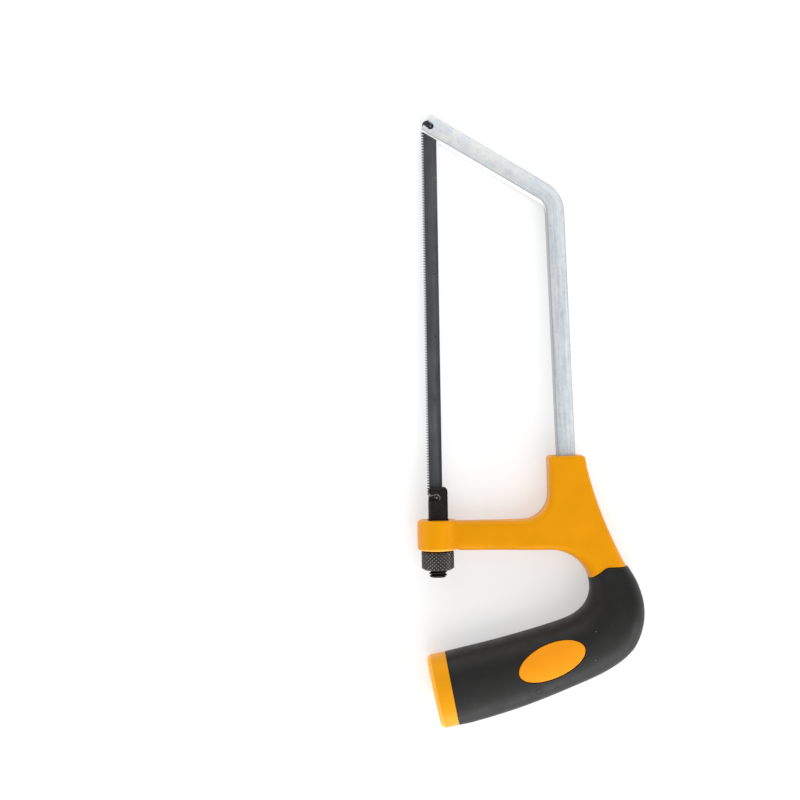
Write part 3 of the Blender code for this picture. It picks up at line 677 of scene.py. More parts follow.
# square bar of the frame
bar = {
    "side": 7.0,
    "edge": 0.6,
    "tailY": -2.0,
    "atTower": (51.6, 31.0),
    "bendCorner": (48.7, 132.4),
    "bendRadius": 10.0,
    "bendSteps": 28,
    "overPin": 0.5,
    "pastPin": 2.55,
    "kerfWidth": 1.2,
    "kerfDepth": 8.0,
    "notchRadius": 1.3,
    "notchRise": 9.5,  # degrees, the pin leaves a little steeper than the bar
    "waists": ((5.0, 9.0), (15.0, 19.0)),  # keys in the tail, inside the tower
    "waistDepth": 1.0,
    "zinc": {
        "cool": (0.55, 0.585, 0.61),
        "pale": (0.66, 0.68, 0.69),
        "warm": (0.70, 0.68, 0.64),
        "lilac": (0.60, 0.60, 0.62),
        "dark": (0.42, 0.45, 0.475),
        # painted shade on the rounded long edges
        "edge": (0.25, 0.26, 0.27),
        # painted shade on the inner wall of the straight run, painted reflection of the bright floor on the
        # inner wall of the bent run
        "shadedWall": (0.36, 0.37, 0.38),
        "brightWall": (0.96, 0.96, 0.95),
        "roughness": (0.42, 0.56),
        "metallic": 0.33,
        "streaks": (0.05, 1.3, 1.3),  # noise scale along, across and through the bar
        "streakShare": 0.55,
        "streakDepth": 0.002,
        "grainDepth": 0.003,
        "tintedRun": (100.0, 130.0),  # warm and lilac tints come in over this length
        "bentRun": (96.0, 104.0),  # the inner wall turns from painted shade to a painted reflection of the bright floor
        "slope": (0.80, 1.05),  # tone from the inner to the outer side
        "lift": (0.92, 1.01),  # tone from the tower to the tip
        "liftRun": 150.0,
        "corners": (0.8, 0.5),  # painted shade on the inner and the outer long edges
        "edgeShadeBand": (0.9, 0.4),  # share of the edge radius
        "wallBand": (0.1, 0.02),
    },
}
pinRadius = drawing["pinRadius"]
lowerPin = Vector(drawing["lowerPin"])
upperPin = lowerPin + Vector((0.0, drawing["pinSpacing"]))
barTower = Vector(bar["atTower"])
barCorner = Vector(bar["bendCorner"])
barUp = (barCorner - barTower).normalized()
towardsPin = (upperPin - barCorner).normalized()
besidePin = upperPin + Vector((towardsPin.y, -towardsPin.x)) * bar["overPin"]
barRun = (besidePin - barCorner).normalized()
barTip = besidePin + barRun * bar["pastPin"]
barTail = barTower + barUp * ((bar["tailY"] - barTower.y) / barUp.y)
notchWay = Matrix.Rotation(-math.radians(bar["notchRise"]), 2) @ barRun


def squareRing(centre, along, halfAcross, halfDepth, corner, steps=6):
    across = Vector((along.y, -along.x))
    ring = []
    for quarter, (side, level) in enumerate(((1, 1), (-1, 1), (-1, -1), (1, -1))):
        for step in range(steps + 1):
            angle = math.pi / 2 * (quarter + step / steps)
            reach = side * (halfAcross - corner) + corner * math.cos(angle)
            spot = centre + across * reach
            ring.append(Vector((spot.x, spot.y, level * (halfDepth - corner) + corner * math.sin(angle))))
    return ring


def tailRings(clearance):
    half = bar["side"] / 2 + clearance
    stops = [(-clearance, half)]
    for start, end in bar["waists"]:
        waist = half - bar["waistDepth"]
        stops += [(start + clearance, half), (start + clearance + bar["waistDepth"], waist)]
        stops += [(end - clearance - bar["waistDepth"], waist), (end - clearance, half)]
    corner = bar["edge"] + clearance
    return [squareRing(barTail + barUp * s, barUp, width, half, corner) for s, width in stops]


def barMiddle():  # middle line of the bar with its direction, from the tower to the tip
    bend = roundCorner(barTower, barCorner, besidePin, bar["bendRadius"], bar["bendSteps"])
    sweep = barUp.angle_signed(barRun)
    straight = [(barTower.lerp(bend[0], i / 24), barUp) for i in range(24)]
    curve = [(p, Matrix.Rotation(-sweep * i / bar["bendSteps"], 2) @ barUp) for i, p in enumerate(bend)]
    last = barTip - barRun * bar["edge"]
    run = [(bend[-1].lerp(last, i / 12), barRun) for i in range(1, 13)]
    return straight + curve + run


middleLine = barMiddle()
middleRun = [0.0]
for (here, _), (after, _) in zip(middleLine, middleLine[1:]):
    middleRun.append(middleRun[-1] + (after - here).length)


def barPlace(co):  # along the bar from the tower, and across it from its middle
    spot = Vector((co.x, co.y))
    best = min(range(len(middleLine)), key=lambda i: (middleLine[i][0] - spot).length_squared)
    middle, along = middleLine[best]
    return middleRun[best] + (spot - middle).dot(along), (spot - middle).dot(Vector((along.y, -along.x)))


def zincPlate():
    z = bar["zinc"]
    material, shader = startMaterial("zincPlate", {"Metallic": z["metallic"]})
    along, across = painted(material, "alongBar"), painted(material, "acrossBar")
    axes = {0: along, 1: across, 2: painted(material, "throughBar")}
    place = addNode(material, "ShaderNodeCombineXYZ", axes).outputs[0]
    slim = addNode(material, "ShaderNodeMapping", {"Vector": place, "Scale": z["streaks"]}).outputs[0]
    streak = noiseValue(material, slim, 1.0, 5.0, 0.6)
    patch = noiseValue(material, place, 0.13, 4.0, 0.6)
    bloom = noiseValue(material, place, 0.6, 3.0, 0.7)
    mottle = mixColour(material, z["streakShare"], noiseValue(material, place, 0.45, 6.0, 0.7), streak)
    cool = ramp(material, mottle, [(0.36, z["dark"]), (0.5, z["cool"]), (0.66, z["pale"])])
    tinted = ramp(material, patch, [(0.38, z["cool"]), (0.5, z["warm"]), (0.62, z["lilac"])])
    nearTip = mapRange(material, along, *z["tintedRun"])
    share = mathNode(material, "MULTIPLY", nearTip, ramp(material, bloom, [(0.35, 0.35), (0.6, 0.95)]))
    colour = mixColour(material, share, cool, tinted)
    half = bar["side"] / 2
    slope = mapRange(material, across, -half, half, *z["slope"])
    lift = mapRange(material, along, 0.0, z["liftRun"], *z["lift"])
    for tone in (slope, lift):
        colour = mixColour(material, 1.0, colour, tone, "MULTIPLY")
    # painted shade and painted reflection on the inner wall
    wall = mixColour(material, mapRange(material, along, *z["bentRun"]), z["shadedWall"], z["brightWall"])
    colour = mixColour(material, painted(material, "innerWall"), colour, wall)
    # painted shade on the rounded long edges
    colour = mixColour(material, painted(material, "barEdgeShade"), colour, z["edge"])
    wire(material, colour, shader.inputs["Base Color"])
    setRoughness(material, shader, noiseValue(material, place, 0.4, 5.0, 0.65), z["roughness"], 0.72)
    addBump(material, shader, streak, z["streakDepth"])
    addBump(material, shader, noiseValue(material, place, 2.2, 3.0), z["grainDepth"])
    return material


def makeBar():
    half = bar["side"] / 2
    rings = tailRings(0.0)
    rings += [squareRing(p, along, half, half, bar["edge"]) for p, along in middleLine]
    for inward, down in quarterRound(4)[1:]:
        rim = bar["edge"] / 2 * inward
        middle = barTip - barRun * (bar["edge"] * down)
        rings.append(squareRing(middle, barRun, half - rim, half - rim, bar["edge"] - rim))
    piece = drawnObject("squareBar", loftRings(rings))
    across = Vector((barRun.y, -barRun.x)) * bar["side"]
    inner = barTip - barRun * bar["kerfDepth"]
    outer = barTip + barRun * drawing["past"]
    kerf = [inner - across, outer - across, outer + across, inner + across]
    combine(piece, prism(kerf, -bar["kerfWidth"] / 2, bar["kerfWidth"] / 2), "DIFFERENCE")
    back = math.degrees(math.atan2(-notchWay.y, -notchWay.x))
    notch = arcPoints(upperPin, bar["notchRadius"], back - 90, back + 90, 24)
    way = notchWay * (bar["pastPin"] + drawing["past"])
    notch += [notch[-1] + way, notch[0] + way]
    combine(piece, prism(notch, -bar["side"], bar["side"]), "DIFFERENCE")
    paint(piece, "alongBar", lambda co: barPlace(co)[0])
    paint(piece, "acrossBar", lambda co: barPlace(co)[1])
    paint(piece, "throughBar", lambda co: co.z)
    innerSide, outerSide = bar["zinc"]["corners"]
    start, stop = (bar["edge"] * share for share in bar["zinc"]["edgeShadeBand"])

    def edgeShadeAt(co):  # painted shade: the rounded long edges are painted darker, most on the inner side
        across = barPlace(co)[1]
        inside = max(half - abs(across), half - abs(co.z))
        return (innerSide if across < 0 else outerSide) * ease(inside, start, stop)

    paint(piece, "barEdgeShade", edgeShadeAt)
    # painted shade and painted reflection on the inner wall
    paint(piece, "innerWall", lambda co: ease(barPlace(co)[1] + half, *bar["zinc"]["wallBand"]))
    settle(piece, "handle", "frame_bar", zincPlate())


def makeMoulding():
    m = moulding
    piece = drawnObject("orangeMoulding", mouldingSlab())
    combine(piece, bossBody(), "UNION")
    stops = [lastSection * i / 40 for i in range(41)]
    core = loftRings([gripRing(u, grip["sleeveWall"])[::2] for u in stops])
    combine(piece, core, "UNION")
    inside = grip["sleeveWall"] + grip["coreWall"]
    start = grip["hollowFrom"]
    cavity = [gripRing(start + (lastSection - start) * i / 14, inside)[::2] for i in range(15)]
    cavity.append([p + gripEnd * drawing["past"] for p in cavity[-1]])
    combine(piece, loftRings(cavity), "DIFFERENCE")
    pocket = tailRings(drawing["gap"])
    out = Vector((barUp.x, barUp.y, 0.0)) * drawing["farPast"]
    pocket.append([p + out for p in pocket[-1]])
    combine(piece, loftRings(pocket), "DIFFERENCE")
    half = m["guideSide"] / 2 + drawing["gap"]
    stops = [Vector((bolt["headX"], y)) for y in (m["guideBottom"], m["bossTop"] + drawing["past"])]
    guide = [squareRing(p, Vector((0, 1)), half, half, m["guideCorner"]) for p in stops]
    combine(piece, loftRings(guide), "DIFFERENCE")
    bore = [(m["boreRadius"], m["boreTop"]), (m["boreRadius"], m["bossBottom"] - drawing["past"])]
    combine(piece, turned(bore, 64), "DIFFERENCE")
    rim = m["rimHighlight"]

    def paintedLightAt(co):  # painted light: the boss, and half as much down the neck, painted lighter
        boss = ease(co.x - drawing["boltX"] - m["bossRadius"], *m["lightBoss"])
        return max(boss, 0.5 * ease(co.y, *m["lightNeck"]))

    # painted highlight along the boss's lower rim
    def rimHighlightAt(co):
        above = co.y - m["bossBottom"]
        band = ease(above, *rim["rise"]) * ease(above, *rim["fall"])
        return rim["share"] * band * ease(abs(co.x - drawing["boltX"]), m["bossRadius"], rim["half"])

    paint(piece, "paintedLight", paintedLightAt)
    paint(piece, "rimHighlight", rimHighlightAt)
    material = orangePlastic("orangeMouldingPlastic", plastic["moulding"])
    settle(piece, "handle", "handle_core", material, 40)


# soft black sleeve
sleeve = {
    "lip": 0.55,
    "endLip": 0.25,
    "plugReach": 0.85,
    "plugLean": 0.35,
    "scar": (38.4, -60.0),  # small moulding mark on the lower side
    "scarRadius": 1.4,
    "scarWire": 0.32,
    "scarLift": 0.1,
    "rubber": {
        "dark": (0.0036, 0.0030, 0.0026),
        "light": (0.0076, 0.0066, 0.0059),
        "speck": (0.20, 0.195, 0.185),
        "roughness": (0.42, 0.56),
        "specular": 0.25,
        "grainScale": 4.5,
        "grainDepth": 0.010,
    },
}


def softBlack():
    r = sleeve["rubber"]
    material, shader = startMaterial("softBlackSleeve", {"IOR": 1.5, "Specular IOR Level": r["specular"]})
    place = millimetres(material)
    cloud = noiseValue(material, place, 0.12, 5.0, 0.6)
    base = ramp(material, cloud, [(0.3, r["dark"]), (0.72, r["light"])])
    dust = dustSpecks(material, place, 0.55, 0.09, 0.16)
    fine = dustSpecks(material, place, 1.7, 0.14, 0.09)
    specks = mathNode(material, "MAXIMUM", dust, mathNode(material, "MULTIPLY", fine, 0.45))
    wire(material, mixColour(material, specks, base, r["speck"]), shader.inputs["Base Color"])
    setRoughness(material, shader, noiseValue(material, place, 0.2, 6.0, 0.65), r["roughness"])
    addBump(material, shader, noiseValue(material, place, r["grainScale"], 3.0), r["grainDepth"])
    return material


def borderStop(angle, wall):  # u where this line of the grip's surface meets the border
    low, high = 0.0, 5.0
    for _ in range(36):
        middle = (low + high) / 2
        p = gripPoint(middle, angle, wall)
        if p.y > borderHeight(p.x):
            low = middle
        else:
            high = middle
    return low


borderRuns = {}


def borderRun(wall):  # length along the grip where the border is, for each of its angles
    if wall not in borderRuns:
        stops = [borderStop(angle, wall) for angle in gripAngles]
        borderRuns[wall] = [float(np.interp(u, gripStops, gripRun)) for u in stops]
    return borderRuns[wall]


def plugReach(angle):  # how far the plug reaches back over the end of the core
    return sleeve["plugReach"] - sleeve["plugLean"] * math.cos(angle)


def sleeveRing(share, shift, wall):  # share of the way from border to end, then a shift in millimetres
    ring = []
    for angle, start in zip(gripAngles, borderRun(wall)):
        along = start + (gripRun[-1] - plugReach(angle) - start) * share + shift
        ring.append(gripPoint(float(np.interp(along, gripRun, gripStops)), angle, wall))
    return ring


def scarRing(skin):  # slim ring that bites a round groove into the sleeve
    x, y = sleeve["scar"]
    place, normal, _, _ = skin.ray_cast(Vector((x, y, drawing["farPast"])), Vector((0, 0, -1)))
    turn = normal.to_track_quat("Z", "Y").to_matrix().to_4x4()
    lay = Matrix.Translation(place + normal * sleeve["scarLift"]) @ turn
    radius, wireRadius = sleeve["scarRadius"], sleeve["scarWire"]
    rings = []
    for around in fullTurn(40):
        middle = Vector((math.cos(around), math.sin(around), 0.0))
        ring = []
        for angle in fullTurn(10):
            spot = middle * (radius + wireRadius * math.cos(angle))
            ring.append(lay @ (spot + Vector((0, 0, wireRadius * math.sin(angle)))))
        rings.append(ring)
    return loftRings(rings, loop=True)


def makeSleeve():
    lip, endLip = sleeve["lip"], sleeve["endLip"]
    wall = grip["sleeveWall"] - drawing["gap"]
    rows = math.ceil(gripRun[-1] / grip["rowLength"])
    rings = [sleeveRing(1 - i / 30, 0.0, wall) for i in range(31)]  # inside, from the end to the border
    rings += [sleeveRing(0.0, lip * inward, lip * down) for inward, down in quarterRound(5)]
    skin = [sleeveRing(i / rows, lip + (-endLip - lip) * i / rows, 0.0) for i in range(1, rows)]
    rings += skin
    rings += [sleeveRing(1.0, -endLip * inward, endLip * down) for inward, down in quarterRound(4)[::-1]]
    piece = drawnObject("softSleeve", loftRings(rings, loop=True))
    window = prism(ovalOutline(drawing["gap"]), -drawing["farPast"], drawing["farPast"])
    combine(piece, window, "DIFFERENCE")
    tree = skinTree(skin)
    combine(piece, scarRing(tree), "DIFFERENCE")
    settle(piece, "handle", "grip_sleeve", softBlack(), 40)
    return tree


# oval inlays in the windows of the sleeve, bare
oval = {
    "centre": (43.5, -48.3),
    "semiAxes": (13.8, 6.5),
    "tilt": 23.0,
    "rim": 0.3,
    "sunk": 0.05,
    "sides": 96,
}


def ovalOutline(grow):
    halfLong, halfShort = oval["semiAxes"]
    turn = Matrix.Rotation(math.radians(oval["tilt"]), 2)
    points = []
    for angle in fullTurn(oval["sides"]):
        spot = Vector(((halfLong + grow) * math.cos(angle), (halfShort + grow) * math.sin(angle)))
        points.append(Vector(oval["centre"]) + turn @ spot)
    return points


def skinTree(rings):  # for finding the height of the grip's surface
    sides = len(rings[0])
    quads = []
    for row in range(len(rings) - 1):
        for i in range(sides):
            j = (i + 1) % sides
            quads.append((row * sides + i, row * sides + j, (row + 1) * sides + j, (row + 1) * sides + i))
    return BVHTree.FromPolygons([p for ring in rings for p in ring], quads)


def makeInlay(name, node, side, tree, material):
    wall = grip["sleeveWall"] - drawing["gap"]
    down = Vector((0, 0, -1))

    def layer(grow, share, drop):  # one oval ring on the grip's surface, this far below it
        ring = []
        middle = Vector(oval["centre"])
        for p in ovalOutline(grow):
            spot = middle + (p - middle) * share
            height = tree.ray_cast(Vector((spot.x, spot.y, drawing["farPast"])), down)[0].z
            ring.append(Vector((spot.x, spot.y, side * (height - drop))))
        return ring

    rim, sunk = oval["rim"], oval["sunk"]
    shares = [0.03] + [i / 9 for i in range(1, 9)]
    rings = [layer(-rim, share, sunk) for share in shares]
    rings += [layer(-rim * inward, 1.0, sunk + rim * low) for inward, low in quarterRound(5)[::-1]]
    rings += [layer(0.0, share, wall) for share in [1.0] + shares[::-1]]
    piece = drawnObject(name, loftRings(rings))
    settle(piece, "handle", node, material)


# end plug of the grip
plug = {
    "length": 6.5,
    "seam": 0.05,
    "rim": 1.6,
    "crease": 0.16,  # small step where the rim starts
    "backRim": 0.25,
    # painted highlight on the plug's rounded rim
    "highlightShare": 0.5,
    "highlightBand": (-0.1, 0.2),  # the painted highlight on the rim comes in over this length
}


def makePlug():
    spigot = grip["sleeveWall"] + grip["coreWall"] + drawing["gap"]
    skirt = grip["sleeveWall"] - drawing["gap"] / 2
    rings = [gripRing(lastSection - 1 + i / 4, spigot) for i in range(5)]

    def ring(wall, distance, back=0.0):  # back is the share of the way to the end of the sleeve
        made = []
        for angle in gripAngles:
            shift = distance - back * (plugReach(angle) - plug["seam"])
            made.append(gripPoint(lastSection, angle, wall) + gripEnd * shift)
        return made

    rings += [ring(spigot, drawing["gap"]), ring(skirt, drawing["gap"]), ring(skirt, 0.0, 1.0)]
    for inward, low in quarterRound(4):
        rings.append(ring(plug["backRim"] * low, plug["backRim"] * inward, 1.0))
    rings.append(ring(0.0, plug["length"] - plug["rim"] - plug["crease"]))
    for inward, low in quarterRound(10):
        wall = plug["crease"] + (plug["rim"] - plug["crease"]) * inward
        rings.append(ring(wall, plug["length"] - plug["rim"] * low))
    piece = drawnObject("endPlug", loftRings(rings))
    start = plug["length"] - plug["rim"]

    # painted highlight on the plug's rounded rim
    def rimHighlightAt(co):
        along = (co - endFinger.to_3d()).dot(gripEnd) - start
        return plug["highlightShare"] * ease(along, *plug["highlightBand"])

    paint(piece, "rimHighlight", rimHighlightAt)
    material = orangePlastic("orangePlugPlastic", plastic["plug"])
    settle(piece, "handle", "end_plug", material)


# tension bolt with its slotted square head
bolt = {
    "headX": 0.7,
    "headSide": 7.6,
    "headTop": 19.1,
    "headBottom": -0.4,
    "headCorners": (1.0, 1.0, 1.5, 1.5),
    "headEdge": 0.6,
    "headGrid": 0.42,
    "slotBottom": 10.8,
    "slotWidth": 1.2,
    "notchFall": 10.0,  # degrees, the notch falls towards its mouth
    "crest": 3.6,
    "root": 2.9,
    "pitch": 1.25,
    "threadStart": 0.38,  # share of a turn, so that the crests stand where the solid has them
    "threadFlats": (1.35, 0.15),  # ridge made steeper and cut flat at crest and root
    "threadRows": 210,
    "threadSides": 72,
    "intoHead": 2.0,
    "end": -16.4,
    "endRadius": 0.4,
    "endChamfer": 0.6,
    "lipWearAndHighlight": (0.7, 0.3),  # out from the pin
    "upperWearAndHighlight": (-1.4, 0.6),  # wear and painted highlight on the lips, strongest on their upper side
    "crestWearAndHighlight": (0.12, 0.16),  # depth from the crest of the thread, and share
    "oxide": {
        "dark": (0.011, 0.0085, 0.0085),
        "light": (0.020, 0.016, 0.016),
        # colour of wear and of painted highlight
        "wearAndHighlight": (0.34, 0.34, 0.345),
        "roughness": (0.34, 0.52),
        "metallic": 0.9,
    },
}


def blackOxide(name, finish, wearAndHighlightName):
    material, shader = startMaterial(name, {"Metallic": finish["metallic"]})
    place = millimetres(material)
    cloud = noiseValue(material, place, 0.5, 5.0, 0.6)
    base = ramp(material, cloud, [(0.3, finish["dark"]), (0.7, finish["light"])])
    scuff = ramp(material, noiseValue(material, place, 1.8, 4.0, 0.7), [(0.35, 0.25), (0.6, 1.0)])
    # wear and painted highlight, where the piece paints them
    share = mathNode(material, "MULTIPLY", painted(material, wearAndHighlightName), scuff)
    specks = mathNode(material, "MULTIPLY", dustSpecks(material, place, 1.1, 0.1, 0.08), 0.5)
    share = mathNode(material, "MAXIMUM", share, specks)
    wire(material, mixColour(material, share, base, finish["wearAndHighlight"]), shader.inputs["Base Color"])
    setRoughness(material, shader, noiseValue(material, place, 0.9, 5.0, 0.65), finish["roughness"])
    addBump(material, shader, noiseValue(material, place, 3.5, 3.0), 0.008)
    return material


def threadRadius(angle, y):
    turnShare = (y / bolt["pitch"] - angle / (2 * math.pi) - bolt["threadStart"] + 0.5) % 1.0
    steep, flat = bolt["threadFlats"]
    ridge = min(max(steep * (1 - abs(2 * turnShare - 1)) - flat, 0.0), 1.0)
    radius = bolt["root"] + (bolt["crest"] - bolt["root"]) * ridge
    return min(radius, bolt["crest"] - bolt["endChamfer"] + (y - bolt["end"]))


def boltHead():
    half, edge = bolt["headSide"] / 2, bolt["headEdge"]
    left, right = bolt["headX"] - half, bolt["headX"] + half
    corners = rectangle(left, right, bolt["headBottom"], bolt["headTop"])
    outline = []
    for i, radius in enumerate(bolt["headCorners"]):
        outline += roundCorner(corners[i - 1], corners[i], corners[(i + 1) % 4], radius, 8)
    rim = [edgeArray(outline + outline[:1])]
    extra = []
    for inward, _ in quarterRound(6)[1:]:
        extra += insetLine(outline, [edge * inward] * len(outline))
    step = bolt["headGrid"]
    for i in range(1, int(bolt["headSide"] / step)):
        for j in range(1, int((bolt["headTop"] - bolt["headBottom"]) / step)):
            p = Vector((left + i * step, bolt["headBottom"] + j * step))
            if nearestEdge(rim, p.x, p.y) > edge + 0.1:
                extra.append(p)

    def heightAt(p):
        return half - roundedDrop(nearestEdge(rim, p.x, p.y), edge)

    return fieldSlab(outline, extra, heightAt, lambda p: -heightAt(p))


def makeBolt():
    rows, sides = bolt["threadRows"], bolt["threadSides"]
    top = bolt["headBottom"] + bolt["intoHead"]
    rings = [turnedRing(bolt["endRadius"], bolt["end"], sides)]
    for row in range(rows + 1):
        y = bolt["end"] + (top - bolt["end"]) * row / rows
        rings.append(turnedRing(lambda angle: threadRadius(angle, y), y, sides))
    piece = drawnObject("tensionBolt", loftRings(rings))
    combine(piece, boltHead(), "UNION")
    half, past = bolt["headSide"] / 2, drawing["past"]
    left, right = bolt["headX"] - half - past, bolt["headX"] + half + past
    slot = rectangle(left, right, bolt["slotBottom"], bolt["headTop"] + past)
    combine(piece, prism(slot, -bolt["slotWidth"] / 2, bolt["slotWidth"] / 2), "DIFFERENCE")
    fall = bolt["notchFall"]
    mouthLine = Vector((-math.cos(math.radians(fall)), -math.sin(math.radians(fall))))
    notch = arcPoints(lowerPin, pinRadius + drawing["gap"], fall - 90, fall + 90, 20)
    notch += [p + mouthLine * bolt["headSide"] for p in (notch[-1], notch[0])]
    combine(piece, prism(notch, -bolt["headSide"], bolt["headSide"]), "DIFFERENCE")
    axis = Vector((drawing["boltX"], 0.0))
    crestDepth, crestShare = bolt["crestWearAndHighlight"]

    def wearAndHighlightAt(co):  # wear and painted highlight on the lips of the notch and the crests of the thread
        away = co.xy - lowerPin
        aside = away - mouthLine * max(0.0, away.dot(mouthLine))
        if co.y > bolt["slotBottom"]:
            return ease(aside.length - pinRadius, *bolt["lipWearAndHighlight"]) * ease(aside.y, *bolt["upperWearAndHighlight"])
        if co.y < bolt["headBottom"]:
            return crestShare * ease((co.xz - axis).length, bolt["crest"] - crestDepth, bolt["crest"])
        return 0.0

    paint(piece, "wearAndHighlight", wearAndHighlightAt)
    material = blackOxide("blackBolt", bolt["oxide"], "wearAndHighlight")
    settle(piece, "tension_bolt", "tension_bolt", material)


# knurled thumb nut
nut = {
    "top": -6.05,
    "bottom": -13.5,
    "radius": 6.5,
    "chamfers": (0.35, 0.8),  # at the boss and at the free end
    "bore": 3.9,
    "depth": 0.42,
    "diamonds": 24,
    "rows": 9,
    "diamondSides": 10,  # faces to a diamond, round the nut and down it
    "diamondSteps": 8,
    "flatten": 1.1,  # worn tops of the diamonds
    "crestFrom": 0.1,
    "oxide": {
        "dark": (0.016, 0.014, 0.013),
        "light": (0.034, 0.030, 0.028),
        # colour of wear and of painted highlight on the crests
        "wearAndHighlight": (0.24, 0.225, 0.215),
        "roughness": (0.30, 0.48),
        "metallic": 0.7,
    },
}


knurlTop = nut["top"] - nut["chamfers"][0]
knurlBottom = nut["bottom"] + nut["chamfers"][1]


def knurl(angle, y):  # 1 on top of a diamond, 0 in the grooves
    column = angle / math.pi * nut["diamonds"]
    row = (knurlTop - y) / (knurlTop - knurlBottom) * nut["rows"]
    rise = 1.0
    for way in ((column + row + 1) / 2, (column - row + 1) / 2):
        rise = min(rise, 1 - 2 * abs(way - round(way)))
    return min(1.0, rise * nut["flatten"])


def makeNut():
    sides = nut["diamonds"] * nut["diamondSides"]
    groove = nut["radius"] - nut["depth"]
    steps = nut["rows"] * nut["diamondSteps"]
    topRadius, bottomRadius = (groove - chamfer for chamfer in nut["chamfers"])
    rings = [turnedRing(radius, nut["top"], sides) for radius in (nut["bore"], topRadius)]
    for row in range(steps + 1):
        y = knurlTop + (knurlBottom - knurlTop) * row / steps
        rings.append(turnedRing(lambda angle: groove + nut["depth"] * knurl(angle, y), y, sides))
    rings += [turnedRing(radius, nut["bottom"], sides) for radius in (bottomRadius, nut["bore"])]
    piece = drawnObject("knurledNut", loftRings(rings, loop=True))
    axis = Vector((drawing["boltX"], 0.0))
    # wear and painted highlight on the crests of the knurl
    paint(piece, "crest", lambda co: ease((co.xz - axis).length, groove + nut["crestFrom"], nut["radius"]))
    material = blackOxide("nutOxide", nut["oxide"], "crest")
    settle(piece, "nut", "knurled_nut", material, 25)


# pinned blade
blade = {
    "tips": -3.5,
    "back": 2.52,
    "thickness": 0.6,
    "end": 2.85,
    "endEdge": -3.0,  # the cutting edge past the last teeth
    "endRounds": (0.9, 1.9, 1.9, 1.9),
    "pitch": 1.058,
    "depth": 0.95,
    # each tooth as shares of depth and pitch
    "tooth": ((1.0, 0.0), (0.0, 0.14), (0.06, 0.34), (0.9, 0.66), (1.0, 0.74)),
    "plainEnds": (0.6, 1.8),  # from the pins to the first and the last tooth
    "wave": 0.09,  # side to side set of the teeth
    "waveLength": 8.5,
    "waveReach": 1.6,  # from the tips to where the blade is flat
    "ribs": (-1.6, 0.4),  # lines of extra points down the blade, so that it can follow the wave
    "ribSteps": 150,
    "holeGap": 0.05,
    "notchShade": (2.4, 1.2),  # painted shade on the blade's end inside the bolt's notch, fading out above the lower pin
    "steel": {
        "dark": (0.024, 0.025, 0.028),
        "light": (0.069, 0.072, 0.077),
        "speck": (0.30, 0.31, 0.32),
        # colour of the stains and of the painted shade in the notch
        "stainAndNotchShade": (0.012, 0.012, 0.013),
        "roughness": (0.40, 0.56),
        "metallic": 0.45,
        "streakDepth": 0.006,
    },
}


def bladeOutline():
    low, high = lowerPin.y - blade["end"], upperPin.y + blade["end"]
    corners = rectangle(blade["endEdge"], blade["back"], low, high)
    outline = []
    for i in (1, 2, 3):
        outline += roundCorner(corners[i - 1], corners[i], corners[(i + 1) % 4], blade["endRounds"][i], 12)
    first, last = lowerPin.y + blade["plainEnds"][0], upperPin.y - blade["plainEnds"][1]
    count = math.floor((last - first) / blade["pitch"])
    for i in reversed(range(count)):
        foot = first + (i + 1) * blade["pitch"]
        for inward, share in blade["tooth"]:
            outline.append(Vector((blade["tips"] + blade["depth"] * inward, foot - share * blade["pitch"])))
    outline.append(Vector((blade["endEdge"], first)))
    return outline + roundCorner(corners[3], corners[0], corners[1], blade["endRounds"][0], 12)


def toothSet(p):  # sideways lean of the cutting edge
    lean = ease(p.x, blade["tips"] + blade["waveReach"], blade["tips"])
    return blade["wave"] * lean * math.sin(2 * math.pi * p.y / blade["waveLength"])


def bluedSteel():
    s = blade["steel"]
    material, shader = startMaterial("bluedSteel", {"Metallic": s["metallic"]})
    slim = millimetres(material, (1.7, 0.03, 1.7))
    place = millimetres(material)
    streak = noiseValue(material, slim, 1.0, 6.0, 0.6)
    patch = noiseValue(material, place, 0.07, 4.0, 0.6)
    mixed = mixColour(material, 0.55, streak, patch)
    base = ramp(material, mixed, [(0.34, s["dark"]), (0.66, s["light"])])
    across = painted(material, "acrossBlade")
    shade = ramp(material, across, [(0.0, 0.72), (0.35, 0.85), (0.75, 1.25), (1.0, 1.1)])
    base = mixColour(material, 1.0, base, shade, "MULTIPLY")
    # painted shade on the blade's end inside the bolt's notch
    base = mixColour(material, painted(material, "notchShade"), base, s["stainAndNotchShade"])
    stained = ramp(material, across, [(0.5, 0.0), (0.58, 1.0), (0.78, 1.0), (0.84, 0.0)])
    stained = mathNode(material, "MULTIPLY", stained, ramp(material, patch, [(0.5, 1.0), (0.56, 0.0)]))
    stains = mathNode(material, "MULTIPLY", dustSpecks(material, place, 0.6, 0.3, 0.2), stained)
    base = mixColour(material, stains, base, s["stainAndNotchShade"])
    specks = mathNode(material, "MULTIPLY", dustSpecks(material, place, 0.8, 0.14, 0.10), 0.8)
    wire(material, mixColour(material, specks, base, s["speck"]), shader.inputs["Base Color"])
    setRoughness(material, shader, patch, s["roughness"])
    addBump(material, shader, streak, s["streakDepth"])
    return material


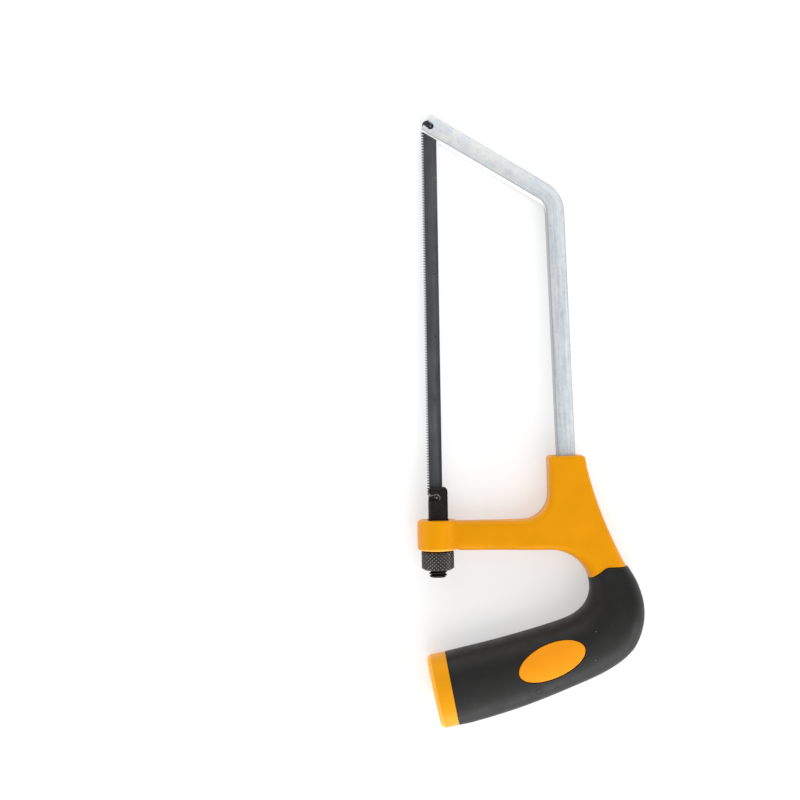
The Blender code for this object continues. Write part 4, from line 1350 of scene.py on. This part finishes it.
def makeBlade():
    outline = bladeOutline()
    half = blade["thickness"] / 2
    step = drawing["pinSpacing"] / blade["ribSteps"]
    rows = [lowerPin.y + step * i for i in range(blade["ribSteps"] + 1)]
    inner = [Vector((x, y)) for x in blade["ribs"] for y in rows]
    body = fieldSlab(outline, inner, lambda p: toothSet(p) + half, lambda p: toothSet(p) - half)
    piece = drawnObject("pinnedBlade", body)
    for middle in (lowerPin, upperPin):
        hole = arcPoints(middle, pinRadius + blade["holeGap"], 0, 360, 40)[:-1]
        combine(piece, prism(hole, -drawing["past"], drawing["past"]), "DIFFERENCE")
    paint(piece, "acrossBlade", lambda co: (co.x - blade["tips"]) / (blade["back"] - blade["tips"]))
    # painted shade on the blade's end inside the bolt's notch
    paint(piece, "notchShade", lambda co: ease(co.y - lowerPin.y, *blade["notchShade"]))
    settle(piece, "blade", "blade", bluedSteel(), 30)


# cross pins of the blade
pin = {
    "length": 6.6,
    "chamfer": 0.25,
    "sides": 36,
    "endRings": (0.15, 0.3, 0.45),  # shares of the radius
    # painted highlight on the middle of each pin's end
    "endHighlightBand": (0.45, 0.2),
    "steel": {
        "dark": (0.035, 0.034, 0.034),
        "endHighlight": (0.36, 0.36, 0.36),
        "metallic": 0.85,
    },
}


def pinSteel():
    s = pin["steel"]
    material, shader = startMaterial("pinSteel", {"Metallic": s["metallic"]})
    place = millimetres(material)
    scuff = ramp(material, noiseValue(material, place, 2.5, 4.0, 0.7), [(0.3, 0.4), (0.65, 1.0)])
    # painted highlight on the middle of the pin's end
    share = mathNode(material, "MULTIPLY", painted(material, "end"), scuff)
    wire(material, mixColour(material, share, s["dark"], s["endHighlight"]), shader.inputs["Base Color"])
    wire(material, ramp(material, scuff, [(0.0, 0.5), (1.0, 0.28)]), shader.inputs["Roughness"])
    return material


def makePin(name, node, place, material):
    half, chamfer = pin["length"] / 2, pin["chamfer"]
    stops = [(pinRadius * share, half) for share in pin["endRings"]]
    for inward, low in quarterRound(5)[::-1]:
        stops.append((pinRadius - chamfer * inward, half - chamfer * low))
    rings = []
    for radius, z in stops:
        rings.append([Vector((p.x, p.y, z)) for p in arcPoints(place, radius, 0, 360, pin["sides"])[:-1]])
    rings += [[Vector((p.x, p.y, -p.z)) for p in ring] for ring in rings[::-1]]
    piece = drawnObject(name, loftRings(rings))
    # painted highlight on the middle of the pin's end
    paint(piece, "end", lambda co: ease((co.xy - place).length / pinRadius, *pin["endHighlightBand"]))
    settle(piece, "blade", node, material)


makeBar()
makeMoulding()
gripSkin = makeSleeve()
inlayPlastic = orangePlastic("orangeInlayPlastic", plastic["inlay"])
makeInlay("inlayFront", "badge_front", 1, gripSkin, inlayPlastic)
makeInlay("inlayBack", "badge_back", -1, gripSkin, inlayPlastic)
makePlug()
makeBolt()
makeNut()
makeBlade()
pinFinish = pinSteel()
makePin("pinInBolt", "lower_pin", lowerPin, pinFinish)
makePin("pinInBar", "upper_pin", upperPin, pinFinish)


# floor, light and camera
studio = {
    "floorSize": 40.0,
    "floorColour": (0.57, 0.567, 0.564),
    "skyColour": (0.96, 0.98, 1.0),
    # brightness of the sky from the horizon to overhead
    "skyLevels": ((0.0, 1.0), (0.1, 0.95), (0.22, 0.28), (0.6, 0.48), (0.95, 0.95)),
    "floorGlow": (0.38, 0.72),  # under the saw, and far behind the lights
    "glowReach": (650.0, 1000.0),  # where the one turns into the other, in millimetres
    "boxes": {  # place on the drawing in millimetres, width and height in metres, watts
        "gripSide": ((480.0, -850.0, 250.0), (2.4, 0.5), 17.0),
        "overGrip": ((350.0, -620.0, 850.0), (1.0, 1.0), 5.0),
        "tipSide": ((-50.0, 1100.0, 420.0), (2.0, 1.1), 13.0),
        "bladeSide": ((-1000.0, -150.0, 330.0), (1.2, 0.5), 3.6),
    },
    "lightTarget": (35.0, 20.0, 0.0),
    "cameraPlace": (-13.6, 53.9, 500.0),
    "cameraRoll": 0.985,  # degrees
    "lens": 56.8,
}


def makeFloor():
    mesh = bpy.data.meshes.new("paleFloor")
    half = studio["floorSize"] / 2
    corners = [p.to_3d() for p in rectangle(-half, half, -half, half)]
    mesh.from_pydata(corners, [], [(0, 1, 2, 3)])
    floor = addObject("paleFloor", mesh)
    material, shader = startMaterial("palePaper", {"Roughness": 0.7, "Specular IOR Level": 0.2})
    shader.inputs["Emission Color"].default_value = (1.0, 1.0, 1.0, 1.0)
    place = millimetres(material)
    away = addNode(material, "ShaderNodeVectorMath", {0: place}, operation="LENGTH").outputs["Value"]
    glow = mapRange(material, away, *studio["glowReach"], *studio["floorGlow"])
    wire(material, glow, shader.inputs["Emission Strength"])
    pale = studio["floorColour"]
    paper = noiseValue(material, place, 0.4, 4.0)
    tones = ramp(material, paper, [(0.3, colourTone(pale, 0.99)), (0.7, pale)])
    wire(material, tones, shader.inputs["Base Color"])
    mesh.materials.append(material)


def makeLight():
    world = bpy.data.worlds.new("softStudio")
    world.use_nodes = True
    sky = world.node_tree.nodes["Background"]
    way = addNode(world, "ShaderNodeTexCoord", {})
    parts = addNode(world, "ShaderNodeSeparateXYZ", {0: way.outputs["Generated"]})
    levels = [(place, colourTone(studio["skyColour"], level)) for place, level in studio["skyLevels"]]
    wire(world, ramp(world, parts.outputs["Z"], levels), sky.inputs["Color"])
    bpy.context.scene.world = world
    target = sawToRow @ Vector(studio["lightTarget"])
    for name, (place, size, watts) in studio["boxes"].items():
        light = bpy.data.lights.new(name, "AREA")
        light.shape = "RECTANGLE"
        light.size, light.size_y = size
        light.energy = watts
        made = addObject(name, light)
        made.location = sawToRow @ Vector(place)
        made.rotation_mode = "QUATERNION"
        made.rotation_quaternion = (target - made.location).to_track_quat("-Z", "Y")


def makeCamera():
    data = bpy.data.cameras.new("photoCamera")
    data.lens = studio["lens"]
    data.sensor_width = 36.0
    data.clip_start = 0.01
    camera = addObject("photoCamera", data)
    roll = Matrix.Rotation(-math.radians(studio["cameraRoll"]), 4, "Z")
    camera.matrix_world = Matrix.Translation(sawToRow @ Vector(studio["cameraPlace"])) @ sawTurn @ roll
    bpy.context.scene.camera = camera


makeFloor()
makeLight()
makeCamera()
bpy.context.scene.view_settings.view_transform = "Standard"
print("studio set")
